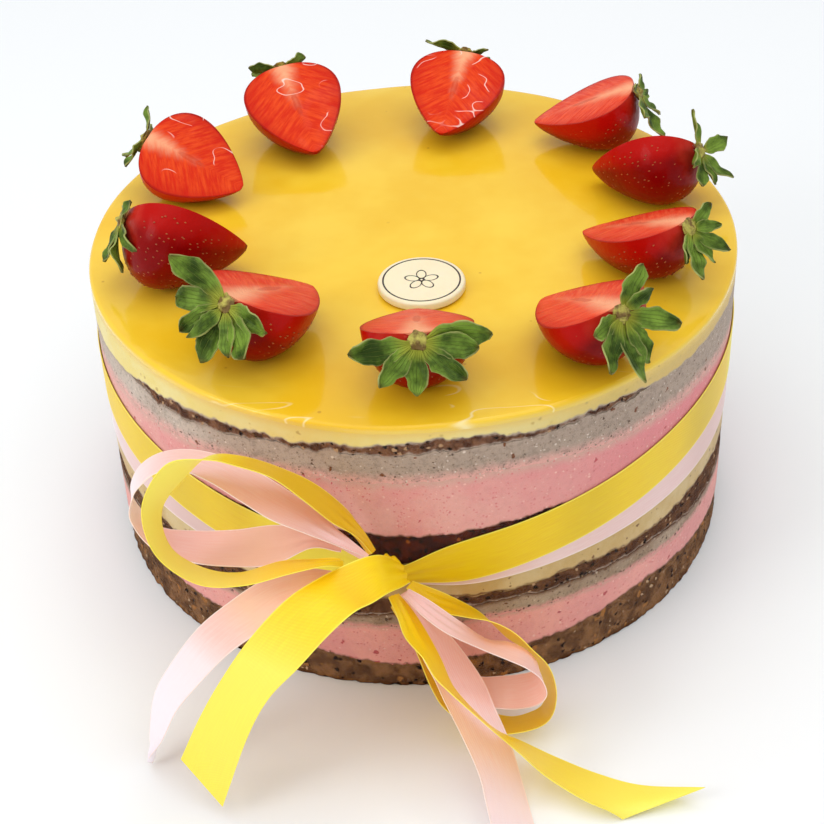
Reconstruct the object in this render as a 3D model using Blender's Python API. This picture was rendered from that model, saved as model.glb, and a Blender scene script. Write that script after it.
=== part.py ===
"""Strawberry layer cake, tied round with a yellow and a pink satin ribbon.

Run it with: blender --background --python part.py
Every object here is one node of the cake, apart from one hidden cutter.
Lengths are metres and +Z is up. The bow is at the front, which looks along -Y.
"""

import math
import random

import bmesh
import bpy
from mathutils import Matrix, Vector

MM = 0.001
GAP = 0.3 * MM

# The cake
CAKE_RADIUS = 100 * MM
CAKE_TOP = 98 * MM
CAKE_SIDES = 72
GLAZE_ROUNDING = 0.8 * MM
GLAZE_FLAT_SHARE = 0.94
FILM_THICKNESS = 0.3 * MM
FILM_BOTTOM = 2 * MM
FILM_TOP = 97 * MM

# The thin sponge is a smaller disc, set towards the front, where it reaches the side
THIN_SPONGE_RADIUS = 96 * MM
THIN_SPONGE_SHIFT = 5.3 * MM
THIN_SPONGE_FRONT = math.radians(-8)

# The ribbon
RIBBON_WIDTH = 16 * MM
RIBBON_THICKNESS = 0.6 * MM
RIBBON_STEPS = 3
KNOT_ANGLE = math.radians(-5.7)
KNOT_CENTRE = Vector((-10.6, -108.6, 54.2)) * MM
KNOT_RADII = Vector((3.6, 4.6, 4.4)) * MM
BAND_PINCH = 0.62
BAND_PINCH_SPREAD = math.radians(8)

# How each band climbs away from the knot: its height there and its rise in mm,
# the turn in degrees over which it rises, and how gently the rise starts
PINK_BAND_CLIMB = (46.5, 10.0, 60, 1.2)
YELLOW_BAND_CLIMB = (47.0, 25.5, 60, 1.4)

# The chocolate disc on top
PLAQUE_CENTRE = Vector((2.3, -33.0, 98.3)) * MM
PLAQUE_RADIUS = 13 * MM
PLAQUE_THICKNESS = 2.8 * MM
PLAQUE_EDGE = 0.8 * MM
PLAQUE_SIDES = 40

# The berries: the tilt of each towards its tip, its depth as a share of its width,
# and the shares of its length where its outline is drawn
BERRY_TILT = math.radians(24)
BERRY_DEPTH = 0.56
BERRY_BLUNTNESS = 0.62
BERRY_FULLNESS = 0.72
BERRY_SHARES = (0.03, 0.1, 0.22, 0.36, 0.52, 0.68, 0.82, 0.93)
BERRY_ENDS = (0.012, 0.985)
BERRY_BULGE = 0.05
BERRY_ARC_STEPS = 8

# The leaves: their star, and each leaf's rows as shares of its length, which are
# how far out the row lies, its half width, and the lift of its edges
LEAF_HUB = 3.6 * MM
LEAF_STALK = 1.8 * MM
LEAF_SPREAD = math.radians(24)
LEAF_ROOM = 0.41
LEAF_THICKNESS = 0.5 * MM
LEAF_ROWS = ((0.45, 0.19, 0.25), (0.76, 0.16, 0.35))
LEAF_CURLS = (0.1, 0.4)
LEAF_TIP_DROOP = 1.1
STAR_BACKSET = 0.9 * MM
STAR_DROP = 0.07

# Seams between layers, at the side: a mean height in mm, and waves that run
# round the cake, each as a size in mm, how many there are in one turn, and the
# angle in degrees where one crests
SEAMS = {
    "glaze": (95.9, ((0.3, 3, 40), (0.2, 11, 8))),
    "thin_sponge": (89.4, ((2.6, 1, 85), (0.8, 3, 0), (0.3, 12, 5))),
    "speckled_upper": (77.8, ((1.5, 2, 12), (0.5, 9, 15))),
    "pink_upper": (62.6, ((-3.0, 3, -4), (0.5, 10, 20))),
    "dark_sponge": (48.4, ((0.6, 4, 10), (0.4, 9, 0))),
    "cream_lower": (37.9, ((-2.2, 1, 0), (0.4, 11, 25))),
    "brown_sponge": (29.0, ((2.6, 3, 20), (0.5, 10, 4))),
    "speckled_lower": (24.6, ((1.0, 4, 20), (0.3, 13, 12))),
    "pink_lower": (12.4, ((-3.0, 4, -1), (0.5, 11, 9))),
}
THIN_SPONGE_WAVE = (3.1, ((1.3, 8, 2),))
GLAZE_RIM_WAVE = (98.0, ((0.3, 5, 18), (0.15, 13, 7)))

# Each layer with the seams under and over it, from the plate up
LAYERS = (
    ("base_sponge", None, "pink_lower", "sponge_base"),
    ("pink_mousse_lower", "pink_lower", "speckled_lower", "pink_mousse"),
    ("speckled_mousse_lower", "speckled_lower", "brown_sponge", "speckled_mousse"),
    ("brown_sponge", "brown_sponge", "cream_lower", "sponge_brown"),
    ("cream_lower", "cream_lower", "dark_sponge", "cream"),
    ("dark_sponge", "dark_sponge", "pink_upper", "sponge_dark"),
    ("pink_mousse_upper", "pink_upper", "speckled_upper", "pink_mousse"),
    ("speckled_mousse_upper", "speckled_upper", "thin_sponge", "speckled_mousse"),
    ("cream_upper", "thin_sponge", "glaze", "cream"),
)

# Each berry half: where its tip lies, which way the tip points in degrees, its
# length and width in mm, how far it has rolled over in degrees, and its leaves.
# A leaf is a direction in degrees, with 90 at the cut side, and a length in mm
COMMON_LEAVES = ((-150, 11), (-115, 12), (-78, 12), (-40, 11), (-5, 10), (170, 10))
BERRIES = (
    ((0.4, -53.9), 90, 38, 31, -1,
     ((-172, 16), (-132, 15.5), (-84, 14.5), (-43, 15), (-14, 18), (170, 19.5))),
    ((-29.6, -41.7), 54, 38, 34, 5,
     ((-150, 17), (-118, 14), (-92, 17), (-66, 12), (-38, 15), (-10, 17), (40, 18), (180, 16))),
    ((-49.3, -19.0), 5, 37.5, 35, -49, ((-120, 13), (-80, 15), (-40, 16), (-5, 14), (35, 12), (170, 9))),
    ((-53.0, 18.5), -20, 34.5, 30, 28, COMMON_LEAVES),
    ((-30.0, 38.7), -70, 38, 32.5, 7, COMMON_LEAVES),
    ((10.6, 47.4), -108, 35.5, 32, -4, ((-140, 9), (-90, 9), (-40, 9), (5, 7), (175, 15))),
    ((42.0, 54.5), 168, 35.5, 31, 2, ((-140, 10), (-100, 12), (-60, 16), (-28, 13), (30, 8), (170, 9))),
    ((58.6, 24.5), 154, 37, 29, 46, ((-150, 12), (-115, 11), (-75, 12), (-35, 12), (60, 13), (150, 12))),
    ((51.9, -13.5), 139, 38.5, 29, 4, ((-165, 9), (-130, 13), (-98, 12), (-68, 15), (-38, 11), (165, 10))),
    ((36.5, -51.8), 123, 35.5, 31, -6,
     ((-147, 16), (-106, 15), (-80, 17.5), (-34, 17), (-4, 13), (127, 14), (160, 11))),
)

# Each free ribbon strand, in mm: the middle of the ribbon, then the way
# from the middle to the edge that is nearer the viewer
STRANDS = {
    "loop_yellow_left": (
        (-14.5, -106, 59.5, -0.5, -2.5, 1.5),
        (-18, -106, 67, -1, -4, 2),
        (-23, -107, 74.5, -2, -5.5, 2.5),
        (-30, -110, 85.5, -1.5, -6.5, 3),
        (-38, -112, 94, -0.5, -7, 4),
        (-47, -114, 100, 0, -7, 4),
        (-54.5, -116, 103, 0.5, -6.5, 4.5),
        (-63, -117, 100, -1.5, -5, 6),
        (-70.5, -118, 88.5, -1.5, -5.5, 5),
        (-69, -120, 75.5, -1, -6, 4),
        (-60, -122, 68, 0, -7, 3.5),
        (-49, -123.5, 67.5, 1, -7, 4),
        (-37, -123.5, 71, 1.5, -6.5, 3.5),
        (-27.5, -121.5, 70.5, 1.5, -4.5, 3),
        (-22.5, -119, 68, 1, -2, 1),
    ),
    "loop_pink_left": (
        (-16, -112.5, 63.5, -0.5, -2, 1.5),
        (-22, -112.5, 69.5, -1, -4, 1.5),
        (-29.5, -112.5, 76.5, -1.5, -6, 1.5),
        (-38, -112, 83, -2, -7, 1),
        (-46, -109, 87.5, -1.5, -7.5, 1),
        (-54.5, -105.5, 91, -1.5, -7.5, 2),
        (-63, -102.5, 92, -0.5, -7.5, 2.5),
        (-70.5, -101, 90, 0.5, -7.5, 2.5),
        (-76, -100, 85, 1.5, -7.5, 3),
        (-79, -100, 79, 1.5, -6.5, 4),
        (-78.5, -101, 72, -0.5, -6.5, 4),
        (-73.5, -103, 65.5, -0.5, -7, 2.5),
        (-63.5, -105.5, 64, -0.5, -7.5, 1),
        (-52.5, -107.5, 64.5, -0.5, -7.5, 0),
        (-41, -108, 65.5, 0, -7, -1),
        (-30.5, -107, 66.5, 0, -5.5, 1.5),
        (-22.5, -107, 63, 0, -3, 1.5),
    ),
    "tail_pink_left": (
        (-17, -120.5, 63.5, 1.5, -3, 0),
        (-22, -121.5, 64, 2.5, -4, 0),
        (-30, -123, 64.5, 3.5, -6, 0),
        (-40, -123, 60.5, 4, -7, 0.5),
        (-49.5, -124, 54, 4.5, -6.5, 0.5),
        (-58.5, -125, 46.5, 4.5, -6.5, 1),
        (-66.5, -126.5, 37, 4.5, -6.5, 2),
        (-73.5, -127, 26, 4, -6.5, 3),
        (-77.5, -128, 14, 3, -6, 4.5),
        (-80.5, -128, 3, 0.5, -1, 2),
    ),
    "tail_yellow_left": (
        (-5.5, -110.5, 55.5, 1, -3.5, -0.5),
        (-8, -115, 60, 1.5, -5, -1),
        (-11.5, -122, 66, 1.5, -6, -1.5),
        (-16.5, -127, 68, 2.5, -6.5, -1.5),
        (-24, -131.5, 67.5, 5, -6, -0.5),
        (-32, -134, 62, 6, -5, -1.5),
        (-41.5, -136.5, 51.5, 7, -4, -1),
        (-50, -138.5, 40.5, 7, -3.5, 0.5),
        (-56.5, -141, 29, 7, -4.5, 1),
        (-64, -143, 10, 5.5, -4, -5.5),
    ),
    "loop_yellow_right": (
        (-4.5, -106.5, 47.5, -0.5, -2.5, 1.5),
        (0, -107, 43, -1, -4, 0.5),
        (6, -107.5, 40, -1.5, -5, 2),
        (13, -109.5, 38, -1.5, -5.5, 4),
        (18.5, -111, 35.5, -0.5, -5, 5.5),
        (23.5, -112.5, 32, 0.5, -5, 6),
        (28.5, -115, 28.5, 0.5, -5.5, 5.5),
        (32.5, -117, 23.5, 1, -5.5, 5.5),
        (34.5, -119, 16, 1, -5.5, 5.5),
        (33.5, -120.5, 10, 1, -6, 4.5),
        (30, -121, 6.5, 1, -6.5, 4),
        (23.5, -121, 4.5, 0, -6.5, 3.5),
        (16, -119.5, 4.5, -1, -7, 3),
        (7, -117, 10, -2, -6.5, 3.5),
        (2, -114, 17.5, -1.5, -6, 2),
        (-2.5, -110.5, 28.5, -1.5, -4.5, 2),
        (-9, -106, 39.5, -1, -2.5, 1.5),
    ),
    "loop_pink_right": (
        (-5.5, -113, 50.5, -0.5, -2, 1),
        (0, -117, 48, -1, -4, 1.5),
        (7, -120, 43.5, -1.5, -5, 2.5),
        (15.5, -119.5, 36, -1, -6, 4),
        (22, -122, 35.5, -0.5, -7, 3.5),
        (27, -125, 35, -0.5, -7, 3.5),
        (30.5, -126, 31, 0, -6.5, 3.5),
        (30.5, -126, 26.5, 1.5, -7, 2.5),
        (27.5, -125, 23, 2, -7, 1),
        (22, -121.5, 18.5, 1.5, -7, 0.5),
        (15.5, -118, 15.5, 1, -7, 1),
        (8.5, -116.5, 17.5, 0.5, -7, 0.5),
        (2, -113.5, 26, -0.5, -6, 0.5),
        (-3.5, -112, 38, -1, -4, 0.5),
        (-7.5, -109.5, 44, -0.5, -2.5, 1.5),
    ),
    "tail_pink_right": (
        (-6.5, -109, 46.5, 1, 2.5, -1.5),
        (-3.5, -112, 42.5, 3, 2.5, -2),
        (1, -114.5, 35.5, 5, 3, -3),
        (5, -118, 29, 6.5, 3, -3.5),
        (8.5, -123, 25, 7, 2.5, -3.5),
        (11, -129.5, 22.5, 7, 2, -3.5),
        (15.5, -137, 15, 6.5, 3, -4),
        (18.5, -144, 9, 6, 3, -4.5),
        (20, -151, 6, 6, 3.5, -4.5),
        (21.5, -161, 5, 6, 3.5, -4),
    ),
    "tail_yellow_right": (
        (-9, -115, 51.5, 1, 2, -1.5),
        (-6, -119, 48.5, 2, 3, -2.5),
        (-3, -124, 44.5, 3, 4, -3.5),
        (1, -128.5, 40, 2.5, 4.5, -5),
        (3.5, -131.5, 35.5, 2, 5, -5.5),
        (6.5, -135.5, 34, 1, 5.5, -5.5),
        (11.5, -138.5, 29.5, 0.5, 5.5, -5.5),
        (17.5, -140.5, 23.5, 0.5, 5.5, -5.5),
        (24.5, -138, 14, 1, 6, -4.5),
        (33, -138.5, 6, 2, 6.5, -3.5),
        (43.5, -144, 3.5, 3, 6.5, -2.5),
        (53, -147.5, 2.2, 5.5, 5.5, -1.5),
        (63, -151, 3.5, 11.5, 2.5, 3),
    ),
}

# Colour, roughness and clearness of each material
MATERIALS = {
    "glaze": ((0.78, 0.48, 0.05), 0.12, 0.0),
    "cream": ((0.80, 0.70, 0.34), 0.45, 0.0),
    "speckled_mousse": ((0.55, 0.48, 0.42), 0.55, 0.0),
    "pink_mousse": ((0.78, 0.35, 0.38), 0.5, 0.0),
    "sponge_thin": ((0.16, 0.07, 0.03), 0.85, 0.0),
    "sponge_dark": ((0.10, 0.04, 0.02), 0.85, 0.0),
    "sponge_brown": ((0.15, 0.07, 0.03), 0.85, 0.0),
    "sponge_base": ((0.18, 0.09, 0.03), 0.9, 0.0),
    "film": ((0.95, 0.95, 0.96), 0.05, 0.9),
    "chocolate": ((0.92, 0.80, 0.52), 0.35, 0.0),
    "berry": ((0.55, 0.02, 0.02), 0.25, 0.0),
    "leaf": ((0.08, 0.20, 0.03), 0.5, 0.0),
    "satin_yellow": ((0.90, 0.68, 0.02), 0.35, 0.0),
    "satin_pink": ((0.88, 0.56, 0.50), 0.35, 0.0),
}


def clear_scene():
    """Remove every object that the file opened with."""
    for old in list(bpy.data.objects):
        bpy.data.objects.remove(old, do_unlink=True)


def material(name):
    """Return the named material, making it on first use."""
    found = bpy.data.materials.get(name)
    if found:
        return found
    colour, roughness, clearness = MATERIALS[name]
    made = bpy.data.materials.new(name)
    made.use_nodes = True
    shader = made.node_tree.nodes["Principled BSDF"]
    shader.inputs["Base Color"].default_value = (*colour, 1)
    shader.inputs["Roughness"].default_value = roughness
    shader.inputs["Transmission Weight"].default_value = clearness
    return made


def add_node(name, mesh_data, material_name):
    """Turn a bmesh into a named object with outward faces and one material."""
    bmesh.ops.recalc_face_normals(mesh_data, faces=mesh_data.faces)
    mesh = bpy.data.meshes.new(name)
    mesh_data.to_mesh(mesh)
    mesh_data.free()
    mesh.materials.append(material(material_name))
    mesh.shade_smooth()
    mesh.set_sharp_from_angle(angle=math.radians(35))
    node = bpy.data.objects.new(name, mesh)
    bpy.context.scene.collection.objects.link(node)
    return node


def wave_height(shape, angle):
    """Return a wavy height in metres at an angle round the cake."""
    mean, waves = shape
    ripple = sum(size * math.cos(turns * (angle - math.radians(crest))) for size, turns, crest in waves)
    return (mean + ripple) * MM


def round_the_cake():
    """Return the angles of the cake's sides, from the front towards the right."""
    return [2 * math.pi * step / CAKE_SIDES for step in range(CAKE_SIDES)]


def at(angle, radius, height):
    """Return a point by its angle from the front, radius and height."""
    return Vector((radius * math.sin(angle), -radius * math.cos(angle), height))


def stack_of_rings(rings, bottom_height, top_height):
    """Join rings of points, from the bottom up, and close them with a fan at each end.

    Args:
        rings: Lists of points, all of one length.
        bottom_height: Height of the middle of the bottom.
        top_height: Height of the middle of the top.

    Returns:
        A closed bmesh.
    """
    shape = bmesh.new()
    loops = [[shape.verts.new(point) for point in ring] for ring in rings]
    count = len(loops[0])
    for low, high in zip(loops, loops[1:]):
        for here in range(count):
            there = (here + 1) % count
            shape.faces.new((low[here], low[there], high[there], high[here]))
    bottom = shape.verts.new((0, 0, bottom_height))
    top = shape.verts.new((0, 0, top_height))
    for here in range(count):
        there = (here + 1) % count
        shape.faces.new((bottom, loops[0][there], loops[0][here]))
        shape.faces.new((top, loops[-1][here], loops[-1][there]))
    return shape


def cake_layer(name, under, over, material_name):
    """Make one layer between two seams, or down to the plate where it has none."""
    def lower(angle):
        return wave_height(SEAMS[under], angle) + GAP / 2 if under else 0

    def upper(angle):
        return wave_height(SEAMS[over], angle) - GAP / 2

    angles = round_the_cake()
    rings = [[at(angle, CAKE_RADIUS, edge(angle)) for angle in angles] for edge in (lower, upper)]
    bottom = SEAMS[under][0] * MM + GAP / 2 if under else 0
    top = SEAMS[over][0] * MM - GAP / 2
    return add_node(name, stack_of_rings(rings, bottom, top), material_name)


def glaze_layer():
    """Make the yellow glaze, flat on top with a soft, slightly wavy rim."""
    seam, edge, shoulder, field = [], [], [], []
    for angle in round_the_cake():
        rim = wave_height(GLAZE_RIM_WAVE, angle)
        seam.append(at(angle, CAKE_RADIUS, wave_height(SEAMS["glaze"], angle) + GAP / 2))
        edge.append(at(angle, CAKE_RADIUS, rim - GLAZE_ROUNDING))
        shoulder.append(at(angle, CAKE_RADIUS - GLAZE_ROUNDING, rim))
        field.append(at(angle, CAKE_RADIUS * GLAZE_FLAT_SHARE, CAKE_TOP))
    shape = stack_of_rings([seam, edge, shoulder, field], SEAMS["glaze"][0] * MM + GAP / 2, CAKE_TOP)
    return add_node("glaze", shape, "glaze")


def thin_sponge_reach(angle):
    """Return how far from the middle the thin sponge reaches, at most the cake's side."""
    turn = angle - THIN_SPONGE_FRONT
    across = THIN_SPONGE_SHIFT * math.sin(turn)
    reach = THIN_SPONGE_SHIFT * math.cos(turn) + math.sqrt(THIN_SPONGE_RADIUS ** 2 - across ** 2)
    return min(CAKE_RADIUS, reach)


def thin_sponge_shape(extra):
    """Make the thin sponge's disc, thicker and wider all round by the given amount."""
    angles = round_the_cake()

    def side(angle, way):
        middle = wave_height(SEAMS["thin_sponge"], angle)
        return middle + way * (wave_height(THIN_SPONGE_WAVE, angle) / 2 + extra)

    rings = [[at(angle, thin_sponge_reach(angle) + extra, side(angle, way)) for angle in angles]
             for way in (-1, 1)]
    half = THIN_SPONGE_WAVE[0] * MM / 2 + extra
    middle = SEAMS["thin_sponge"][0] * MM
    return stack_of_rings(rings, middle - half, middle + half)


def thin_sponge(neighbours):
    """Add the thin sponge and cut room for it out of the layers over and under it."""
    add_node("thin_sponge", thin_sponge_shape(0), "sponge_thin")
    room = add_node("thin_sponge_room", thin_sponge_shape(GAP), "sponge_thin")
    room.hide_render = True
    room.display_type = "WIRE"
    for layer in neighbours:
        cut = layer.modifiers.new("room_for_sponge", "BOOLEAN")
        cut.operation = "DIFFERENCE"
        cut.object = room


def clear_film():
    """Make the clear strip of cake film that stands round the side."""
    shape = bmesh.new()
    inner = CAKE_RADIUS + GAP
    rings = []
    for radius, height in ((inner, FILM_BOTTOM), (inner + FILM_THICKNESS, FILM_BOTTOM),
                           (inner + FILM_THICKNESS, FILM_TOP), (inner, FILM_TOP)):
        rings.append([shape.verts.new(at(angle, radius, height)) for angle in round_the_cake()])
    close_tube(shape, rings)
    add_node("clear_film", shape, "film")


def close_tube(shape, rings):
    """Join rings into a tube that also closes on its first ring."""
    count = len(rings[0])
    for ring, following in zip(rings, rings[1:] + rings[:1]):
        for here in range(count):
            there = (here + 1) % count
            shape.faces.new((ring[here], ring[there], following[there], following[here]))


def band_height(climb, turn):
    """Return the height of a band's middle line at an angle away from the knot."""
    start, rise, over, gentleness = climb
    return (start + rise * (1 - math.exp(-(turn / math.radians(over)) ** gentleness))) * MM


def ribbon_band(name, inner_radius, climb, material_name):
    """Make a ribbon that runs round the cake and gathers behind the knot.

    Args:
        name: Name of the node.
        inner_radius: Radius of its inner face.
        climb: How its middle line climbs away from the knot.
        material_name: Its material.
    """
    shape = bmesh.new()
    outer_radius = inner_radius + RIBBON_THICKNESS
    rings = [[], [], [], []]
    for angle in round_the_cake():
        turn = math.remainder(angle - KNOT_ANGLE, 2 * math.pi)
        pinch = BAND_PINCH * math.exp(-(turn / BAND_PINCH_SPREAD) ** 2)
        half = RIBBON_WIDTH / 2 * (1 - pinch)
        middle = band_height(climb, abs(turn))
        corners = ((inner_radius, -half), (outer_radius, -half), (outer_radius, half), (inner_radius, half))
        for ring, (radius, rise) in zip(rings, corners):
            ring.append(shape.verts.new(at(angle, radius, middle + rise)))
    close_tube(shape, rings)
    add_node(name, shape, material_name)


def smooth_path(points, steps):
    """Return points on a Catmull-Rom curve through the given ones."""
    ends = [points[0] * 2 - points[1], *points, points[-1] * 2 - points[-2]]
    path = []
    for before, start, end, after in zip(ends, ends[1:], ends[2:], ends[3:]):
        for step in range(steps):
            t = step / steps
            path.append(0.5 * (2 * start + (end - before) * t
                               + (2 * before - 5 * start + 4 * end - after) * t ** 2
                               + (3 * start - before - 3 * end + after) * t ** 3))
    return [*path, points[-1]]


def ribbon_strand(name, stations, material_name):
    """Make a free strand of ribbon through its stations, with square-cut edges."""
    middles = smooth_path([Vector(station[:3]) * MM for station in stations], RIBBON_STEPS)
    halves = smooth_path([Vector(station[3:]) * MM for station in stations], RIBBON_STEPS)
    shape = bmesh.new()
    sections = []
    for place, (middle, half) in enumerate(zip(middles, halves)):
        along = middles[min(place + 1, len(middles) - 1)] - middles[max(place - 1, 0)]
        lift = along.cross(half).normalized() * RIBBON_THICKNESS / 2
        corners = (middle - half - lift, middle + half - lift, middle + half + lift, middle - half + lift)
        sections.append([shape.verts.new(corner) for corner in corners])
    for section, following in zip(sections, sections[1:]):
        for here in range(4):
            there = (here + 1) % 4
            shape.faces.new((section[here], section[there], following[there], following[here]))
    shape.faces.new(sections[0][::-1])
    shape.faces.new(sections[-1])
    add_node(name, shape, material_name)


def knot():
    """Make the core that the bow's strands are tied round."""
    shape = bmesh.new()
    bmesh.ops.create_uvsphere(shape, u_segments=16, v_segments=10, radius=1)
    bmesh.ops.scale(shape, vec=KNOT_RADII, verts=shape.verts)
    bmesh.ops.translate(shape, vec=KNOT_CENTRE, verts=shape.verts)
    add_node("knot", shape, "satin_yellow")


def plaque():
    """Make the round white-chocolate disc that lies on the glaze."""
    shape = bmesh.new()
    bmesh.ops.create_cone(shape, cap_ends=True, segments=PLAQUE_SIDES, radius1=PLAQUE_RADIUS,
                          radius2=PLAQUE_RADIUS, depth=PLAQUE_THICKNESS)
    rims = [edge for edge in shape.edges if len({round(vert.co.z, 6) for vert in edge.verts}) == 1]
    bmesh.ops.bevel(shape, geom=rims, offset=PLAQUE_EDGE, segments=2, profile=0.5, affect="EDGES")
    middle = PLAQUE_CENTRE + Vector((0, 0, PLAQUE_THICKNESS / 2))
    bmesh.ops.translate(shape, vec=middle, verts=shape.verts)
    add_node("plaque", shape, "chocolate")


def berry_profile(share):
    """Return a berry's half width at a share of its length, as a share of the widest."""
    return math.sin(math.pi * share ** BERRY_BLUNTNESS) ** BERRY_FULLNESS


def berry_half_shape(length, width):
    """Make a berry cut lengthwise, its leafy end at the origin and its tip along +X.

    The cut face looks along +Z and bulges a little.
    """
    around = [math.pi * step / BERRY_ARC_STEPS for step in range(BERRY_ARC_STEPS + 1)]
    shape = bmesh.new()
    rings = []
    for share in BERRY_SHARES:
        half = width / 2 * berry_profile(share)
        depth = half * 2 * BERRY_DEPTH
        skin = [Vector((share * length, half * math.cos(turn), -depth * math.sin(turn))) for turn in around]
        crown = Vector((share * length, 0, BERRY_BULGE * half))
        rings.append([shape.verts.new(point) for point in (*skin, crown)])
    tips = [shape.verts.new((end * length, 0, -0.02 * width)) for end in BERRY_ENDS]
    count = len(rings[0])
    for ring, following in zip(rings, rings[1:]):
        for here in range(count):
            there = (here + 1) % count
            shape.faces.new((ring[here], ring[there], following[there], following[here]))
    for here in range(count):
        there = (here + 1) % count
        shape.faces.new((tips[0], rings[0][there], rings[0][here]))
        shape.faces.new((tips[1], rings[-1][here], rings[-1][there]))
    return shape


def berry_pose(tip, heading, length, roll):
    """Return the turn and rough place of a berry that points its tip along the heading."""
    turn = (Matrix.Rotation(math.radians(heading), 4, "Z")
            @ Matrix.Rotation(BERRY_TILT, 4, "Y")
            @ Matrix.Rotation(math.radians(roll), 4, "X"))
    end = turn @ Vector((length, 0, 0))
    return Matrix.Translation((tip[0] * MM - end.x, tip[1] * MM - end.y, CAKE_TOP)) @ turn


def leaf_sheet(leaves, seed):
    """Make the star of a berry's leaves in the YZ plane, round a short stalk.

    Args:
        leaves: A direction in degrees and a length in mm for each leaf.
        seed: Seed of the leaves' uneven curl.

    Returns:
        A bmesh of triangles, open at its edge.
    """
    draw = random.Random(seed)
    sheet = bmesh.new()
    stalk = sheet.verts.new((-LEAF_STALK, 0, 0))
    turns = sorted(math.radians(direction % 360) for direction, _ in leaves)
    lengths = {math.radians(direction % 360): length * MM for direction, length in leaves}
    corners = []
    for place, turn in enumerate(turns):
        following = turns[(place + 1) % len(turns)]
        gaps = [(turn - turns[place - 1]) % (2 * math.pi), (following - turn) % (2 * math.pi)]
        sides = [min(LEAF_SPREAD, LEAF_ROOM * gap) for gap in gaps]
        points = [sheet.verts.new((0, LEAF_HUB * math.cos(base), LEAF_HUB * math.sin(base)))
                  for base in (turn - sides[0], turn, turn + sides[1])]
        sheet.faces.new((stalk, points[0], points[1]))
        sheet.faces.new((stalk, points[1], points[2]))
        corners.append(points)
        add_leaf(sheet, points, turn, lengths[turn], sides, draw.uniform(*LEAF_CURLS))
    for here, following in zip(corners, corners[1:] + corners[:1]):
        sheet.faces.new((stalk, here[2], following[0]))
    return sheet


def add_leaf(sheet, base, turn, length, sides, curl):
    """Add one leaf, from its three points on the hub out to its tip.

    Args:
        sheet: The bmesh to add to.
        base: Its three points on the hub.
        turn: Its direction in the YZ plane.
        length: Distance from the middle of the star to its tip.
        sides: Angles that it may fill to either side, so that it stays clear of its neighbours.
        curl: How far it bends away from the berry, as a share of its length.
    """
    out = Vector((0, math.cos(turn), math.sin(turn)))
    side = Vector((0, -math.sin(turn), math.cos(turn)))
    rows = [base]
    for share, half, rise in LEAF_ROWS:
        spine = out * length * share - Vector((curl * length * share ** 2, 0, 0))
        fold = Vector((-rise * half * length, 0, 0))
        widths = [min(half, share * math.tan(room)) * length for room in sides]
        edges = (spine - side * widths[0] + fold, spine, spine + side * widths[1] + fold)
        rows.append([sheet.verts.new(edge) for edge in edges])
    for near, far in zip(rows, rows[1:]):
        for column in (0, 1):
            sheet.faces.new((near[column], far[column], far[column + 1]))
            sheet.faces.new((near[column], far[column + 1], near[column + 1]))
    tip = sheet.verts.new(out * length - Vector((curl * length * LEAF_TIP_DROOP, 0, 0)))
    sheet.faces.new((rows[-1][0], tip, rows[-1][1]))
    sheet.faces.new((rows[-1][1], tip, rows[-1][2]))


def lay_on_glaze(shape, clearance):
    """Lift points that would dip into the glaze so that they lie just over it."""
    floor = CAKE_TOP + clearance
    for vert in shape.verts:
        vert.co.z = max(vert.co.z, floor)


def berry(number, tip, heading, length, width, roll, leaves):
    """Add one berry half and its leaves, resting on the glaze."""
    length, width = length * MM, width * MM
    shape = berry_half_shape(length, width)
    pose = berry_pose(tip, heading, length, roll)
    bmesh.ops.transform(shape, matrix=pose, verts=shape.verts)
    seat = CAKE_TOP + GAP - min(vert.co.z for vert in shape.verts)
    bmesh.ops.translate(shape, vec=(0, 0, seat), verts=shape.verts)
    add_node(f"berry_{number:02d}", shape, "berry")

    sheet = leaf_sheet(leaves, number)
    in_berry = Matrix.Translation((-STAR_BACKSET, 0, -STAR_DROP * width))
    in_place = Matrix.Translation((0, 0, seat)) @ pose @ in_berry
    bmesh.ops.transform(sheet, matrix=in_place, verts=sheet.verts)
    lay_on_glaze(sheet, GAP + LEAF_THICKNESS)
    star = add_node(f"leaves_{number:02d}", sheet, "leaf")
    thicken = star.modifiers.new("thickness", "SOLIDIFY")
    thicken.thickness = LEAF_THICKNESS
    thicken.offset = 0


def main():
    """Build the whole cake."""
    clear_scene()
    layers = {name: cake_layer(name, under, over, look) for name, under, over, look in LAYERS}
    glaze_layer()
    thin_sponge((layers["speckled_mousse_upper"], layers["cream_upper"]))
    clear_film()
    pink_radius = CAKE_RADIUS + GAP + FILM_THICKNESS + GAP
    yellow_radius = pink_radius + RIBBON_THICKNESS + GAP
    ribbon_band("band_pink", pink_radius, PINK_BAND_CLIMB, "satin_pink")
    ribbon_band("band_yellow", yellow_radius, YELLOW_BAND_CLIMB, "satin_yellow")
    for name, stations in STRANDS.items():
        ribbon_strand(name, stations, "satin_yellow" if "yellow" in name else "satin_pink")
    knot()
    plaque()
    for number, measures in enumerate(BERRIES, start=1):
        berry(number, *measures)


main()
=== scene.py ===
"""Look of a strawberry layer cake in clear film, tied with two satin ribbons.

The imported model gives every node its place. This script replaces the plain
solids with finer pieces of the same form, dresses them, and adds a plain studio.
Lengths are metres, +Z is up, and the bow is at the front, which looks along -Y.
"""

import logging
import math
import random
from dataclasses import dataclass, field
from enum import Enum
from typing import Callable, Mapping, Optional, Sequence, Union

import bpy
import numpy as np
from mathutils import Matrix, Vector, noise


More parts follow.
